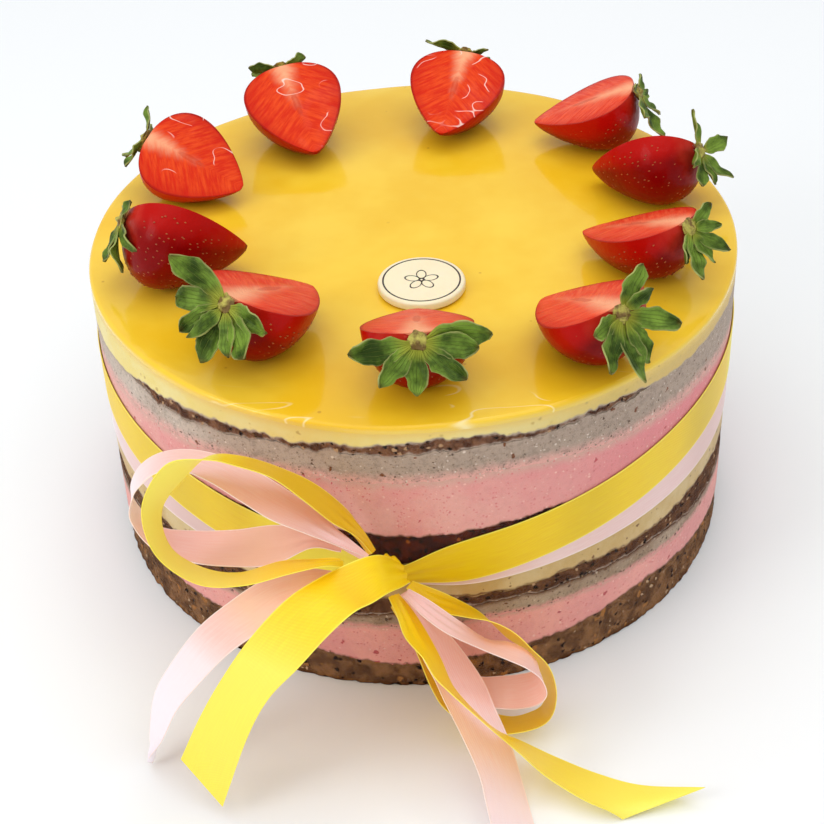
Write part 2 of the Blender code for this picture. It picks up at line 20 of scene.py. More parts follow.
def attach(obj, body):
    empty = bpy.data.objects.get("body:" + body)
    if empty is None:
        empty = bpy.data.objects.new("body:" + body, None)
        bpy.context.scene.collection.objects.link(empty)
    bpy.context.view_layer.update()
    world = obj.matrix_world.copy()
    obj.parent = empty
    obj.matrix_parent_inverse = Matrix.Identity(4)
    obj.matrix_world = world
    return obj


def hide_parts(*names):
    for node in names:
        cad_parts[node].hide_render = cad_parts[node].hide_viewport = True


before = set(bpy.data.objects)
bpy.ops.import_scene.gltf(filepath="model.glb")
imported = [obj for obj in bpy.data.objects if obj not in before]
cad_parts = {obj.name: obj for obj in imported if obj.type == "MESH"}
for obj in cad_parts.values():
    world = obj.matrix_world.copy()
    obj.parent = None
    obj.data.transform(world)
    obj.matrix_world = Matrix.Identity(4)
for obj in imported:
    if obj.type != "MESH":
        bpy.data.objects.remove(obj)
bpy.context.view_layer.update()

log = logging.getLogger("cake")

MM = 0.001
TURN = 2 * math.pi
HALF_RIBBON = 8.0
Colour = tuple[float, float, float]
Value = Union[float, Colour, Vector, bpy.types.NodeSocket]


def rgb(red: int, green: int, blue: int) -> Colour:
    """Return a linear colour from screen values of 0 to 255."""
    def linear(level: int) -> float:
        """Return the linear value of one channel."""
        share = level / 255
        return share / 12.92 if share <= 0.04045 else ((share + 0.055) / 1.055) ** 2.4

    return linear(red), linear(green), linear(blue)


def ease(low: float, high: float, value: float) -> float:
    """Return a smooth step from 0 at low to 1 at high."""
    share = min(1.0, max(0.0, (value - low) / (high - low)))
    return share * share * (3 - 2 * share)



class Recipe:
    """One Principled material and the nodes that feed it."""

    def __init__(self, name: str, **sockets: Value) -> None:
        """Make the material.

        Args:
            name: Its name.
            sockets: Values of the shader's sockets, with _ for a space.
        """
        self.material = bpy.data.materials.new(name)
        self.material.use_nodes = True
        self.tree = self.material.node_tree
        self.shader = self.tree.nodes["Principled BSDF"]
        for socket, value in sockets.items():
            self.feed(self.shader.inputs[socket.replace("_", " ")], value)

    def feed(self, socket: bpy.types.NodeSocket, value: Value) -> None:
        """Link or set a socket."""
        if isinstance(value, bpy.types.NodeSocket):
            self.tree.links.new(value, socket)
        elif socket.type == "RGBA":
            socket.default_value = (*value, 1.0)
        else:
            socket.default_value = value

    def node(self, kind: str, inputs: Mapping[Union[str, int], Value], **settings: object) -> bpy.types.Node:
        """Add a node.

        Args:
            kind: Its type, without the leading ShaderNode.
            inputs: Socket names or numbers, and what feeds them.
            settings: Its other settings.

        Returns:
            The node.
        """
        made = self.tree.nodes.new("ShaderNode" + kind)
        for name, value in settings.items():
            setattr(made, name, value)
        for socket, value in inputs.items():
            self.feed(made.inputs[socket], value)
        return made

    def place(self, stretch: Sequence[float] = (1, 1, 1)) -> bpy.types.NodeSocket:
        """Return Object coordinates, stretched along each axis."""
        coordinates = self.node("TexCoord", {}).outputs["Object"]
        return self.node("Mapping", {"Vector": coordinates, "Scale": Vector(stretch)}).outputs[0]

    def attribute(self, name: str) -> bpy.types.NodeSocket:
        """Return a vector that is stored on the mesh."""
        return self.node("Attribute", {}, attribute_name=name).outputs["Vector"]

    def parts(self, vector: bpy.types.NodeSocket) -> list[bpy.types.NodeSocket]:
        """Return the three parts of a vector."""
        return list(self.node("SeparateXYZ", {0: vector}).outputs)

    def noise(self, vector: bpy.types.NodeSocket, scale: float, detail: float = 3.0,
              roughness: float = 0.5) -> bpy.types.NodeSocket:
        """Return a noise between 0 and 1."""
        inputs = {"Vector": vector, "Scale": scale, "Detail": detail, "Roughness": roughness}
        return self.node("TexNoise", inputs).outputs[0]

    def cells(self, vector: bpy.types.NodeSocket, scale: float) -> bpy.types.Node:
        """Return a cell pattern."""
        return self.node("TexVoronoi", {"Vector": vector, "Scale": scale})

    def sum(self, operation: str, first: Value, second: Value = 0.0) -> bpy.types.NodeSocket:
        """Return the result of one arithmetic step."""
        return self.node("Math", {0: first, 1: second}, operation=operation).outputs[0]

    def step(self, value: Value, low: float, high: float, start: float = 0.0,
             end: float = 1.0) -> bpy.types.NodeSocket:
        """Return a smooth step from start at low to end at high."""
        inputs = {"Value": value, "From Min": low, "From Max": high, "To Min": start, "To Max": end}
        return self.node("MapRange", inputs, interpolation_type="SMOOTHSTEP").outputs[0]

    def blend(self, share: Value, first: Value, second: Value) -> bpy.types.NodeSocket:
        """Return a colour between two colours."""
        return self.node("Mix", {0: share, 6: first, 7: second}, data_type="RGBA").outputs[2]

    def colour(self, value: Value) -> None:
        """Feed the base colour."""
        self.feed(self.shader.inputs["Base Color"], value)

    def relief(self, height: bpy.types.NodeSocket, distance: float, strength: float = 1.0) -> None:
        """Feed the shader's normal from a height.

        Args:
            height: A height between 0 and 1.
            distance: What a height of 1 stands for, in metres.
            strength: Share of the relief that shows.
        """
        inputs = {"Height": height, "Distance": distance, "Strength": strength}
        self.feed(self.shader.inputs["Normal"], self.node("Bump", inputs).outputs[0])


@dataclass(frozen=True)
class Specks:
    """Small bits scattered through a food.

    Attributes:
        colour: Their colour.
        scale: Cells to the metre.
        size: Largest radius, as a share of a cell.
        share: Share of the cells that hold one.
    """

    colour: Colour
    scale: float
    size: float
    share: float


@dataclass(frozen=True)
class FoodFinish:
    """How a layer of the cake looks at its side.

    Attributes:
        name: Name of the material.
        tones: Two colours that it wanders between.
        scale: Patches to the metre.
        specks: Bits in it.
        over: Colour that seeps in from above.
        under: Colour that seeps in from below.
        seep: How far each seeps, in mm, above and below.
        painted_side_shade: Painted shade: colour that it takes towards the right side of the cake.
        painted_side_shade_span: Where that painted shade starts and ends, in metres to the right.
        mottle: How strongly fine darker patches show.
        roughness: Roughness of the surface.
        gloss: How much it mirrors.
        grain: Height of its grain, in metres.
        grain_scale: Grains to the metre.
    """

    name: str
    tones: tuple[Colour, Colour]
    scale: float
    specks: tuple[Specks, ...]
    over: Colour
    under: Colour
    seep: tuple[float, float]
    painted_side_shade: Optional[Colour] = None
    painted_side_shade_span: tuple[float, float] = (0.0, 0.085)
    mottle: float = 0.3
    roughness: float = 0.5
    gloss: float = 0.2
    grain: float = 0.1 * MM
    grain_scale: float = 900.0

    def material(self) -> bpy.types.Material:
        """Return the finish's material, which reads the seam distances on the mesh."""
        recipe = Recipe(self.name, Roughness=self.roughness, Specular_IOR_Level=self.gloss)
        place = recipe.place()
        wander = recipe.step(recipe.noise(place, self.scale, 4.0, 0.6), 0.38, 0.62)
        colour = recipe.blend(wander, *self.tones)
        # Painted shade: darker towards the right side of the cake.
        if self.painted_side_shade:
            across = recipe.parts(recipe.node("TexCoord", {}).outputs["Object"])[0]
            colour = recipe.blend(recipe.step(across, *self.painted_side_shade_span), colour, self.painted_side_shade)
        above, below = self.seams(recipe, place)
        colour = recipe.blend(above, colour, self.over)
        colour = recipe.blend(below, colour, self.under)
        for bits in self.specks:
            colour = recipe.blend(self.bits(recipe, place, bits), colour, bits.colour)
        darker = recipe.node("HueSaturation", {"Value": 0.62, "Color": colour}).outputs[0]
        patches = recipe.step(recipe.noise(place, 520.0, 5.0, 0.8), 0.46, 0.66)
        recipe.colour(recipe.blend(recipe.sum("MULTIPLY", patches, self.mottle), colour, darker))
        recipe.relief(recipe.noise(place, self.grain_scale, 2.0), self.grain)
        return recipe.material

    def seams(self, recipe: Recipe, place: bpy.types.NodeSocket) -> tuple[Value, Value]:
        """Return how much of the layers above and below shows at a point."""
        down, up, _ = recipe.parts(recipe.attribute("seam"))
        ragged = recipe.sum("MULTIPLY", recipe.noise(place, 260.0, 5.0, 0.7), 2.4)
        ragged = recipe.sum("SUBTRACT", ragged, 1.2)
        shares = []
        for distance, reach in ((up, self.seep[0]), (down, self.seep[1])):
            moved = recipe.sum("ADD", distance, recipe.sum("MULTIPLY", ragged, min(1.0, reach)))
            shares.append(recipe.step(moved, -0.2 * reach, reach, 1.0, 0.0) if reach else 0.0)
        return shares[0], shares[1]

    def bits(self, recipe: Recipe, place: bpy.types.NodeSocket, bits: Specks) -> bpy.types.NodeSocket:
        """Return where the specks are."""
        wander = {"Vector": place, "Scale": bits.scale * 1.7, "Detail": 2.0}
        drift = recipe.node("TexNoise", wander).outputs["Color"]
        drift = recipe.node("VectorMath", {0: drift, "Scale": 0.9 / bits.scale}, operation="SCALE").outputs[0]
        moved = recipe.node("VectorMath", {0: place, 1: drift}, operation="ADD").outputs[0]
        cells = recipe.cells(moved, bits.scale)
        kind = recipe.parts(cells.outputs["Color"])
        chosen = recipe.step(kind[0], 1 - bits.share, 1 - bits.share + 0.02)
        size = recipe.sum("MULTIPLY", recipe.sum("ADD", kind[1], 0.25), bits.size)
        distance = recipe.sum("SUBTRACT", cells.outputs["Distance"], size)
        return recipe.sum("MULTIPLY", recipe.step(distance, -0.08, 0.02, 1.0, 0.0), chosen)


@dataclass(frozen=True)
class RibbonFinish:
    """A satin ribbon's weave, painted highlight, painted shade, painted glow and selvage.

    Attributes:
        name: Name of the material.
        colour: Colour of the face.
        shade: Colour of the threads between.
        selvage: Colour of the two edges.
        light: Painted highlight: colour laid on where the stored painted light value is above 0, as if the
            satin caught the light.
        painted_shade_colour: Painted shade: colour laid on where that value is below 0, as if it turned away
            from the light.
        cover: How much it hides what lies behind it.
        glow: Painted glow: the ribbon emits its own colour at this strength, as a share of white, standing in
            for light that comes through from its other side.
    """

    name: str
    colour: Colour
    shade: Colour
    selvage: Colour
    light: Colour
    painted_shade_colour: Colour
    cover: float
    glow: float = 0.08

    def material(self) -> bpy.types.Material:
        """Return the ribbon's material, which reads the ribbon's UV map in millimetres."""
        recipe = Recipe(self.name, Roughness=0.36, Specular_IOR_Level=0.45, IOR=1.5, Anisotropic=0.4,
                        Alpha=self.cover, Emission_Strength=self.glow)
        uv = recipe.node("UVMap", {}, uv_map="ribbon").outputs[0]
        across, along, _ = recipe.parts(uv)
        slant = recipe.sum("ADD", across, along)
        twill = recipe.sum("SINE", recipe.sum("MULTIPLY", slant, TURN / 0.62))
        threads = recipe.sum("SINE", recipe.sum("MULTIPLY", along, TURN / 0.3))
        stretched = recipe.node("Mapping", {"Vector": uv, "Scale": Vector((2.0, 0.12, 1))}).outputs[0]
        uneven = recipe.noise(stretched, 1.0, 3.0)
        share = recipe.step(recipe.sum("ADD", recipe.sum("MULTIPLY", twill, 0.22), uneven), 0.2, 0.85)
        colour = recipe.blend(share, self.shade, self.colour)
        # Painted highlight and painted shade: a value stored along each ribbon blends the colour towards
        # light above 0 and towards the shade colour below 0.
        painted_sheen, _, _ = recipe.parts(recipe.attribute("painted_sheen"))
        colour = recipe.blend(recipe.step(painted_sheen, 0.0, 1.0), colour, self.light)
        colour = recipe.blend(recipe.step(painted_sheen, -1.0, 0.0, 1.0, 0.0), colour, self.painted_shade_colour)
        from_middle = recipe.sum("ABSOLUTE", recipe.sum("SUBTRACT", across, HALF_RIBBON))
        from_edge = recipe.sum("SUBTRACT", HALF_RIBBON, from_middle)
        edge = recipe.step(from_edge, 0.2, 0.5, 1.0, 0.0)
        colour = recipe.blend(edge, colour, self.selvage)
        recipe.colour(colour)
        # Painted glow: the ribbon emits its own colour, though it is no lamp.
        recipe.feed(recipe.shader.inputs["Emission Color"], colour)
        weave = recipe.sum("ADD", recipe.sum("MULTIPLY", twill, 0.5), recipe.sum("MULTIPLY", threads, 0.25))
        recipe.relief(recipe.sum("ADD", weave, recipe.sum("MULTIPLY", edge, 2.0)), 0.03 * MM)
        return recipe.material


class Tint(Enum):
    """The cake's plain colours, as they look in even white light."""

    GLAZE = rgb(242, 193, 34)
    GLAZE_PALE = rgb(250, 209, 60)
    GLAZE_RIM = rgb(240, 206, 92)
    CREAM = rgb(234, 212, 122)
    CREAM_WARM = rgb(233, 200, 108)
    MOUSSE_GREY = rgb(176, 155, 138)
    MOUSSE_WHITE = rgb(202, 184, 168)
    MOUSSE_PINK = rgb(227, 152, 147)
    MOUSSE_PALE_PINK = rgb(231, 170, 160)
    MOUSSE_DEEP_PINK = rgb(228, 136, 140)
    SPONGE = rgb(106, 64, 36)
    SPONGE_DARK = rgb(66, 28, 10)
    CRUMB_ORANGE = rgb(150, 78, 26)
    CRUMB_PALE = rgb(184, 146, 108)
    CRUMB_DARK = rgb(30, 14, 6)


# The upper cream, the upper speckled mousse and the upper pink mousse take painted shade towards the right
# side.
CREAM_UPPER = FoodFinish(
    "cream upper", (Tint.CREAM.value, rgb(236, 220, 150)), 45.0,
    (Specks(rgb(206, 176, 98), 600.0, 0.4, 0.12),),
    over=Tint.CREAM_WARM.value, under=Tint.MOUSSE_GREY.value, seep=(3.0, 0.8), painted_side_shade=rgb(214, 182, 104),
    roughness=0.42, mottle=0.06)
CREAM_LOWER = FoodFinish(
    "cream lower", (rgb(200, 166, 104), rgb(212, 186, 134)), 60.0,
    (Specks(rgb(128, 88, 44), 640.0, 0.4, 0.14),),
    over=Tint.SPONGE.value, under=Tint.SPONGE.value, seep=(1.0, 1.0), roughness=0.42, mottle=0.12)
THIN_SPONGE = FoodFinish(
    "thin sponge", (rgb(128, 86, 60), rgb(78, 44, 26)), 300.0,
    (Specks(Tint.CRUMB_DARK.value, 700.0, 0.5, 0.26), Specks(Tint.CRUMB_PALE.value, 640.0, 0.42, 0.16)),
    over=Tint.MOUSSE_GREY.value, under=Tint.MOUSSE_GREY.value, seep=(0.9, 0.9), mottle=0.7, roughness=0.8,
    gloss=0.05, grain=0.9 * MM, grain_scale=700.0)
MOUSSE_UPPER = FoodFinish(
    "speckled mousse upper", (Tint.MOUSSE_WHITE.value, rgb(188, 168, 152)), 50.0,
    (Specks(rgb(140, 118, 100), 1300.0, 0.34, 0.5), Specks(rgb(220, 204, 190), 900.0, 0.3, 0.3),
     Specks(rgb(96, 70, 52), 760.0, 0.3, 0.12), Specks(rgb(120, 66, 32), 420.0, 0.3, 0.1)),
    over=Tint.MOUSSE_GREY.value, under=Tint.MOUSSE_PALE_PINK.value, seep=(1.6, 4.5),
    painted_side_shade=rgb(174, 153, 136), painted_side_shade_span=(-0.075, 0.0), mottle=0.8, grain=0.25 * MM)
MOUSSE_LOWER = FoodFinish(
    "speckled mousse lower", (rgb(150, 124, 98), rgb(174, 150, 126)), 60.0,
    (Specks(rgb(118, 92, 70), 1200.0, 0.36, 0.55), Specks(rgb(194, 172, 148), 900.0, 0.3, 0.25),
     Specks(rgb(76, 48, 30), 720.0, 0.36, 0.24), Specks(rgb(104, 60, 28), 420.0, 0.32, 0.16)),
    over=Tint.SPONGE.value, under=Tint.MOUSSE_PINK.value, seep=(1.6, 2.0), mottle=0.6, grain=0.25 * MM)
PINK_UPPER = FoodFinish(
    "pink mousse upper", (Tint.MOUSSE_PALE_PINK.value, Tint.MOUSSE_PINK.value), 40.0,
    (Specks(rgb(218, 126, 128), 1100.0, 0.34, 0.45), Specks(rgb(240, 188, 176), 900.0, 0.3, 0.3),
     Specks(rgb(198, 88, 94), 420.0, 0.26, 0.08)),
    over=rgb(212, 168, 154), under=Tint.SPONGE.value, seep=(3.8, 0.8),
    painted_side_shade=Tint.MOUSSE_DEEP_PINK.value, mottle=0.16, grain=0.25 * MM)
PINK_LOWER = FoodFinish(
    "pink mousse lower", (Tint.MOUSSE_PINK.value, rgb(236, 164, 154)), 40.0,
    (Specks(rgb(216, 122, 124), 1100.0, 0.34, 0.45), Specks(rgb(238, 186, 174), 900.0, 0.3, 0.25),
     Specks(rgb(192, 84, 88), 420.0, 0.28, 0.12)),
    over=rgb(206, 158, 142), under=Tint.SPONGE.value, seep=(1.8, 1.0), mottle=0.18, grain=0.25 * MM)
DARK_SPONGE = FoodFinish(
    "dark sponge", (rgb(84, 26, 6), rgb(48, 9, 2)), 300.0,
    (Specks(rgb(18, 6, 2), 620.0, 0.55, 0.3), Specks(Tint.CRUMB_ORANGE.value, 560.0, 0.42, 0.14)),
    over=Tint.SPONGE_DARK.value, under=Tint.SPONGE_DARK.value, seep=(0.0, 0.0), mottle=0.7, roughness=0.85,
    gloss=0.05, grain=1.1 * MM, grain_scale=600.0)
BROWN_SPONGE = FoodFinish(
    "brown sponge", (rgb(112, 72, 44), rgb(80, 46, 26)), 300.0,
    (Specks(Tint.CRUMB_DARK.value, 640.0, 0.55, 0.24), Specks(Tint.CRUMB_PALE.value, 620.0, 0.42, 0.16)),
    over=rgb(190, 158, 100), under=Tint.MOUSSE_GREY.value, seep=(0.6, 0.9), mottle=0.7, roughness=0.85,
    gloss=0.05, grain=1.1 * MM, grain_scale=650.0)
BASE_SPONGE = FoodFinish(
    "base sponge", (rgb(142, 100, 64), rgb(96, 62, 36)), 210.0,
    (Specks(Tint.CRUMB_DARK.value, 600.0, 0.55, 0.2), Specks(rgb(168, 112, 58), 420.0, 0.42, 0.24),
     Specks(rgb(196, 164, 128), 640.0, 0.38, 0.1)),
    over=Tint.SPONGE_DARK.value, under=Tint.SPONGE_DARK.value, seep=(0.0, 0.8), mottle=0.8, roughness=0.85,
    gloss=0.05, grain=1.4 * MM, grain_scale=420.0)
# Each finish gives the face, thread and selvage colours, then the painted highlight and painted shade
# colours, the cover, and the strength of the painted glow.
YELLOW_RIBBON = RibbonFinish("yellow satin", rgb(254, 221, 8), rgb(248, 205, 2), rgb(255, 236, 80),
                             rgb(255, 245, 106), rgb(234, 184, 0), 0.95)
PINK_RIBBON = RibbonFinish("pink satin", rgb(253, 215, 209), rgb(249, 197, 188), rgb(255, 230, 224),
                           rgb(250, 240, 246), rgb(250, 208, 180), 0.93)
YELLOW_BAND = RibbonFinish("yellow sheer satin", rgb(253, 222, 10), rgb(244, 202, 0), rgb(255, 238, 90),
                           rgb(255, 242, 70), rgb(212, 180, 8), 0.86, 0.05)
PINK_BAND = RibbonFinish("pink sheer satin", rgb(252, 224, 220), rgb(245, 206, 202), rgb(255, 238, 234),
                         rgb(250, 238, 244), rgb(230, 196, 188), 0.80, 0.05)
RIBBON_FINISHES = {(True, False): YELLOW_RIBBON, (False, False): PINK_RIBBON,
                   (True, True): YELLOW_BAND, (False, True): PINK_BAND}


def glaze_material() -> bpy.types.Material:
    """Return the clear golden glaze, with faint clouds, tiny specks and painted glints at the front."""
    recipe = Recipe("golden glaze", Roughness=0.16, Specular_IOR_Level=0.3, Coat_Weight=0.3,
                    Coat_Roughness=0.03, Coat_IOR=1.45)
    place = recipe.place()
    clouds = recipe.step(recipe.noise(place, 22.0, 4.0, 0.6), 0.35, 0.7)
    colour = recipe.blend(clouds, Tint.GLAZE.value, Tint.GLAZE_PALE.value)
    cells = recipe.cells(place, 150.0)
    kind = recipe.parts(cells.outputs["Color"])
    chosen = recipe.step(kind[0], 0.9, 0.91)
    spot = recipe.sum("MULTIPLY", recipe.step(cells.outputs["Distance"], 0.05, 0.11, 1.0, 0.0), chosen)
    colour = recipe.blend(recipe.sum("MULTIPLY", spot, 0.5), colour, rgb(186, 118, 14))
    down, _, _ = recipe.parts(recipe.attribute("seam"))
    rim = recipe.step(down, 0.2, 2.2, 1.0, 0.0)
    colour = recipe.blend(rim, colour, Tint.GLAZE_RIM.value)
    # Painted glints: thin near-white streaks near the front rim, standing in for highlights on wet syrup.
    _, forward, _ = recipe.parts(recipe.node("TexCoord", {}).outputs["Object"])
    front = recipe.sum("MULTIPLY", recipe.step(forward, -0.094, -0.07, 1.0, 0.0),
                       recipe.step(recipe.noise(place, 34.0, 1.0), 0.5, 0.56))
    wet = recipe.sum("MULTIPLY", painted_glint_lines(recipe, recipe.place((1.0, 3.4, 1.0)), 46.0), front)
    recipe.colour(recipe.blend(recipe.sum("MULTIPLY", wet, 0.65), colour, rgb(255, 240, 186)))
    recipe.relief(recipe.noise(place, 60.0, 3.0, 0.6), 0.12 * MM)
    return recipe.material


def painted_glint_lines(recipe: Recipe, place: bpy.types.NodeSocket, scale: float) -> bpy.types.NodeSocket:
    """Return a mask of thin wandering streaks, where painted glints go."""
    level = recipe.noise(place, scale, 0.4, 0.4)
    away = recipe.sum("ABSOLUTE", recipe.sum("SUBTRACT", level, 0.5))
    return recipe.step(away, 0.0, 0.02, 1.0, 0.0)


def film_material() -> bpy.types.Material:
    """Return the clear film, which lays a faint veil over the side."""
    recipe = Recipe("clear film", Base_Color=(0.92, 0.92, 0.92), Roughness=0.2, IOR=1.3, Alpha=0.009)
    return recipe.material


def chocolate_material() -> bpy.types.Material:
    """Return the white chocolate of the disc."""
    recipe = Recipe("white chocolate", Roughness=0.32, Subsurface_Weight=0.12, Subsurface_Scale=0.002)
    place = recipe.place()
    recipe.colour(recipe.blend(recipe.noise(place, 140.0, 3.0), rgb(250, 238, 204), rgb(244, 228, 188)))
    recipe.relief(recipe.noise(place, 500.0, 3.0), 0.03 * MM)
    return recipe.material


def print_material() -> bpy.types.Material:
    """Return the dark cocoa print on the disc."""
    recipe = Recipe("cocoa print", Roughness=0.4)
    recipe.colour(recipe.blend(recipe.noise(recipe.place(), 900.0, 2.0), rgb(44, 30, 26), rgb(70, 50, 42)))
    return recipe.material


def skin_material() -> bpy.types.Material:
    """Return the berries' red skin, paler towards the leaves."""
    recipe = Recipe("berry skin", Roughness=0.34, Specular_IOR_Level=0.08, Coat_Weight=0.08,
                    Coat_Roughness=0.05, Coat_IOR=1.35)
    along, _, edge = recipe.parts(recipe.attribute("berry"))
    place = recipe.place()
    colour = recipe.blend(recipe.noise(place, 120.0, 3.0), rgb(150, 6, 4), rgb(112, 0, 2))
    colour = recipe.blend(recipe.sum("MULTIPLY", recipe.step(edge, 0.8, 1.0), 0.6), colour, rgb(206, 16, 6))
    pale = recipe.step(recipe.sum("ADD", along, recipe.sum("MULTIPLY", recipe.noise(place, 260.0), 0.14)),
                       0.06, 0.18, 1.0, 0.0)
    colour = recipe.blend(recipe.sum("MULTIPLY", pale, 0.4), colour, rgb(214, 72, 52))
    recipe.colour(colour)
    recipe.relief(recipe.noise(place, 420.0, 3.0), 0.2 * MM)
    return recipe.material


def flesh_material(wet: bool) -> bpy.types.Material:
    """Return the cut flesh, with fibres that run out from a pale heart.

    Args:
        wet: Whether syrup stands on it; wet flesh also gets painted glints.

    Returns:
        The material, which reads the berry's own frame on the mesh.
    """
    recipe = Recipe("wet flesh" if wet else "cut flesh", Roughness=0.36, Specular_IOR_Level=0.06,
                    Coat_Weight=0.12 if wet else 0.03, Coat_Roughness=0.03, Coat_IOR=1.33)
    along, across, ring = recipe.parts(recipe.attribute("berry"))
    out = recipe.sum("ABSOLUTE", across)
    slant = recipe.sum("SUBTRACT", along, recipe.sum("MULTIPLY", out, 0.8))
    fibre_place = recipe.node("CombineXYZ", {0: recipe.sum("MULTIPLY", slant, 22.0),
                                             1: recipe.sum("MULTIPLY", out, 5.0)}).outputs[0]
    fibres = recipe.step(recipe.noise(fibre_place, 1.0, 4.0, 0.65), 0.36, 0.66)
    place = recipe.place()
    tones = (rgb(208, 34, 6), rgb(234, 82, 28)) if wet else (rgb(220, 46, 22), rgb(240, 98, 62))
    colour = recipe.blend(fibres, *tones)
    clouds = recipe.sum("MULTIPLY", recipe.noise(place, 90.0, 3.0), 0.5)
    colour = recipe.blend(clouds, colour, rgb(228, 54, 14) if wet else rgb(238, 92, 56))
    heart = recipe.sum("ADD", recipe.sum("MULTIPLY", along, 0.62), recipe.sum("MULTIPLY", out, 2.6))
    heart = recipe.sum("ADD", heart, recipe.sum("MULTIPLY", recipe.sum("SUBTRACT", fibres, 0.5), 0.1))
    heart = recipe.sum("ADD", heart, recipe.sum("MULTIPLY", recipe.noise(place, 170.0, 3.0), 0.3))
    pale = recipe.step(heart, 0.14, 0.6 if wet else 0.74, 0.85, 0.0)
    colour = recipe.blend(pale, colour, rgb(252, 184, 140))
    stretched = recipe.sum("DIVIDE", recipe.sum("SUBTRACT", along, 0.46), 0.16)
    narrow = recipe.sum("DIVIDE", across, 0.035)
    lens = recipe.sum("ADD", recipe.sum("MULTIPLY", stretched, stretched),
                      recipe.sum("MULTIPLY", narrow, narrow))
    lens = recipe.sum("ADD", lens, recipe.noise(place, 500.0))
    colour = recipe.blend(recipe.step(lens, 0.9, 1.5, 0.45, 0.0), colour, rgb(190, 34, 12))
    colour = recipe.blend(recipe.step(ring, 0.55, 0.97, 0.0, 0.55), colour, rgb(194, 16, 4))
    colour = recipe.blend(recipe.step(ring, 0.92, 0.99, 0.0, 0.8), colour, rgb(150, 4, 2))
    height = recipe.sum("ADD", recipe.noise(place, 380.0, 4.0, 0.6), recipe.sum("MULTIPLY", fibres, 0.6))
    if wet:
        # Painted glints: thin near-white streaks in patches, standing in for highlights on the syrup.
        painted_glint_patches = recipe.step(recipe.noise(recipe.place((1.0, 1.0, 1.4)), 64.0, 1.0), 0.55, 0.6)
        painted_glints = recipe.sum("MULTIPLY", painted_glint_lines(recipe, recipe.place((1.0, 1.6, 1.0)), 120.0), painted_glint_patches)
        colour = recipe.blend(recipe.sum("MULTIPLY", painted_glints, 0.75), colour, rgb(255, 232, 220))
    recipe.colour(colour)
    recipe.relief(height, 0.14 * MM)
    return recipe.material


def seed_material() -> bpy.types.Material:
    """Return the berries' small golden seeds."""
    recipe = Recipe("berry seed", Roughness=0.3)
    recipe.colour(recipe.blend(recipe.noise(recipe.place(), 150.0, 1.0), rgb(196, 104, 42), rgb(132, 34, 14)))
    return recipe.material


def leaf_material() -> bpy.types.Material:
    """Return the green of the leaves, with lengthwise veins and paler edges."""
    recipe = Recipe("berry leaf", Roughness=0.48, Specular_IOR_Level=0.16)
    uv = recipe.node("UVMap", {}, uv_map="leaf").outputs[0]
    across, along, _ = recipe.parts(uv)
    place = recipe.place()
    tone = recipe.step(recipe.noise(place, 130.0, 4.0, 0.6), 0.34, 0.66)
    colour = recipe.blend(tone, rgb(46, 68, 10), rgb(120, 150, 52))
    from_rib = recipe.sum("ABSOLUTE", across)
    veins = recipe.sum("ABSOLUTE", recipe.sum("SINE", recipe.sum("MULTIPLY", from_rib, TURN * 1.5)))
    vein = recipe.step(veins, 0.0, 0.34, 1.0, 0.0)
    colour = recipe.blend(recipe.sum("MULTIPLY", vein, 0.4), colour, rgb(148, 164, 84))
    edge = recipe.step(from_rib, 0.88, 1.0)
    colour = recipe.blend(recipe.sum("MULTIPLY", edge, 0.6), colour, rgb(176, 176, 110))
    base = recipe.step(along, 0.14, 0.42, 1.0, 0.0)
    colour = recipe.blend(recipe.sum("MULTIPLY", base, 0.8), colour, rgb(160, 160, 50))
    uneven = recipe.sum("MULTIPLY", recipe.noise(place, 300.0), 0.1)
    tip = recipe.step(recipe.sum("ADD", along, uneven), 0.95, 1.05)
    recipe.colour(recipe.blend(recipe.sum("MULTIPLY", tip, 0.6), colour, rgb(96, 72, 34)))
    height = recipe.sum("SUBTRACT", recipe.noise(place, 700.0, 2.0), vein)
    recipe.relief(height, 0.2 * MM)
    return recipe.material


def hub_material() -> bpy.types.Material:
    """Return the yellow-green of the star's middle, brown where the stalk was cut."""
    recipe = Recipe("berry stalk", Roughness=0.6)
    place = recipe.place()
    recipe.colour(recipe.blend(recipe.step(recipe.noise(place, 420.0, 4.0, 0.6), 0.36, 0.62),
                               rgb(186, 176, 78), rgb(112, 84, 30)))
    recipe.relief(recipe.noise(place, 800.0, 3.0), 0.4 * MM)
    return recipe.material



def deselect() -> None:
    """Deselect every object."""
    bpy.ops.object.select_all(action="DESELECT")


def make_active(piece: bpy.types.Object) -> None:
    """Select one object alone and make it active."""
    deselect()
    piece.select_set(True)
    bpy.context.view_layer.objects.active = piece


def edit(piece: bpy.types.Object, select: str = "SELECT") -> None:
    """Open a mesh in edit mode with everything selected, or nothing."""
    make_active(piece)
    bpy.ops.object.mode_set(mode="EDIT")
    bpy.ops.mesh.select_all(action=select)


def close_edit() -> None:
    """Go back to object mode."""
    bpy.ops.object.mode_set(mode="OBJECT")


def points_of(piece: bpy.types.Object) -> np.ndarray:
    """Return a mesh's points as rows."""
    flat = np.empty(len(piece.data.vertices) * 3)
    piece.data.vertices.foreach_get("co", flat)
    return flat.reshape(-1, 3)


def move_points(piece: bpy.types.Object, points: np.ndarray) -> None:
    """Put a mesh's points at new places."""
    piece.data.vertices.foreach_set("co", np.ascontiguousarray(points, dtype=float).ravel())
    piece.data.update()


def store(piece: bpy.types.Object, name: str, values: np.ndarray) -> None:
    """Store a vector for each point of a mesh, for its material to read."""
    layer = piece.data.attributes.new(name, "FLOAT_VECTOR", "POINT")
    layer.data.foreach_set("vector", np.ascontiguousarray(values, dtype=float).ravel())


def apply(piece: bpy.types.Object) -> None:
    """Apply an object's modifiers in order."""
    make_active(piece)
    for modifier in list(piece.modifiers):
        bpy.ops.object.modifier_apply(modifier=modifier.name)


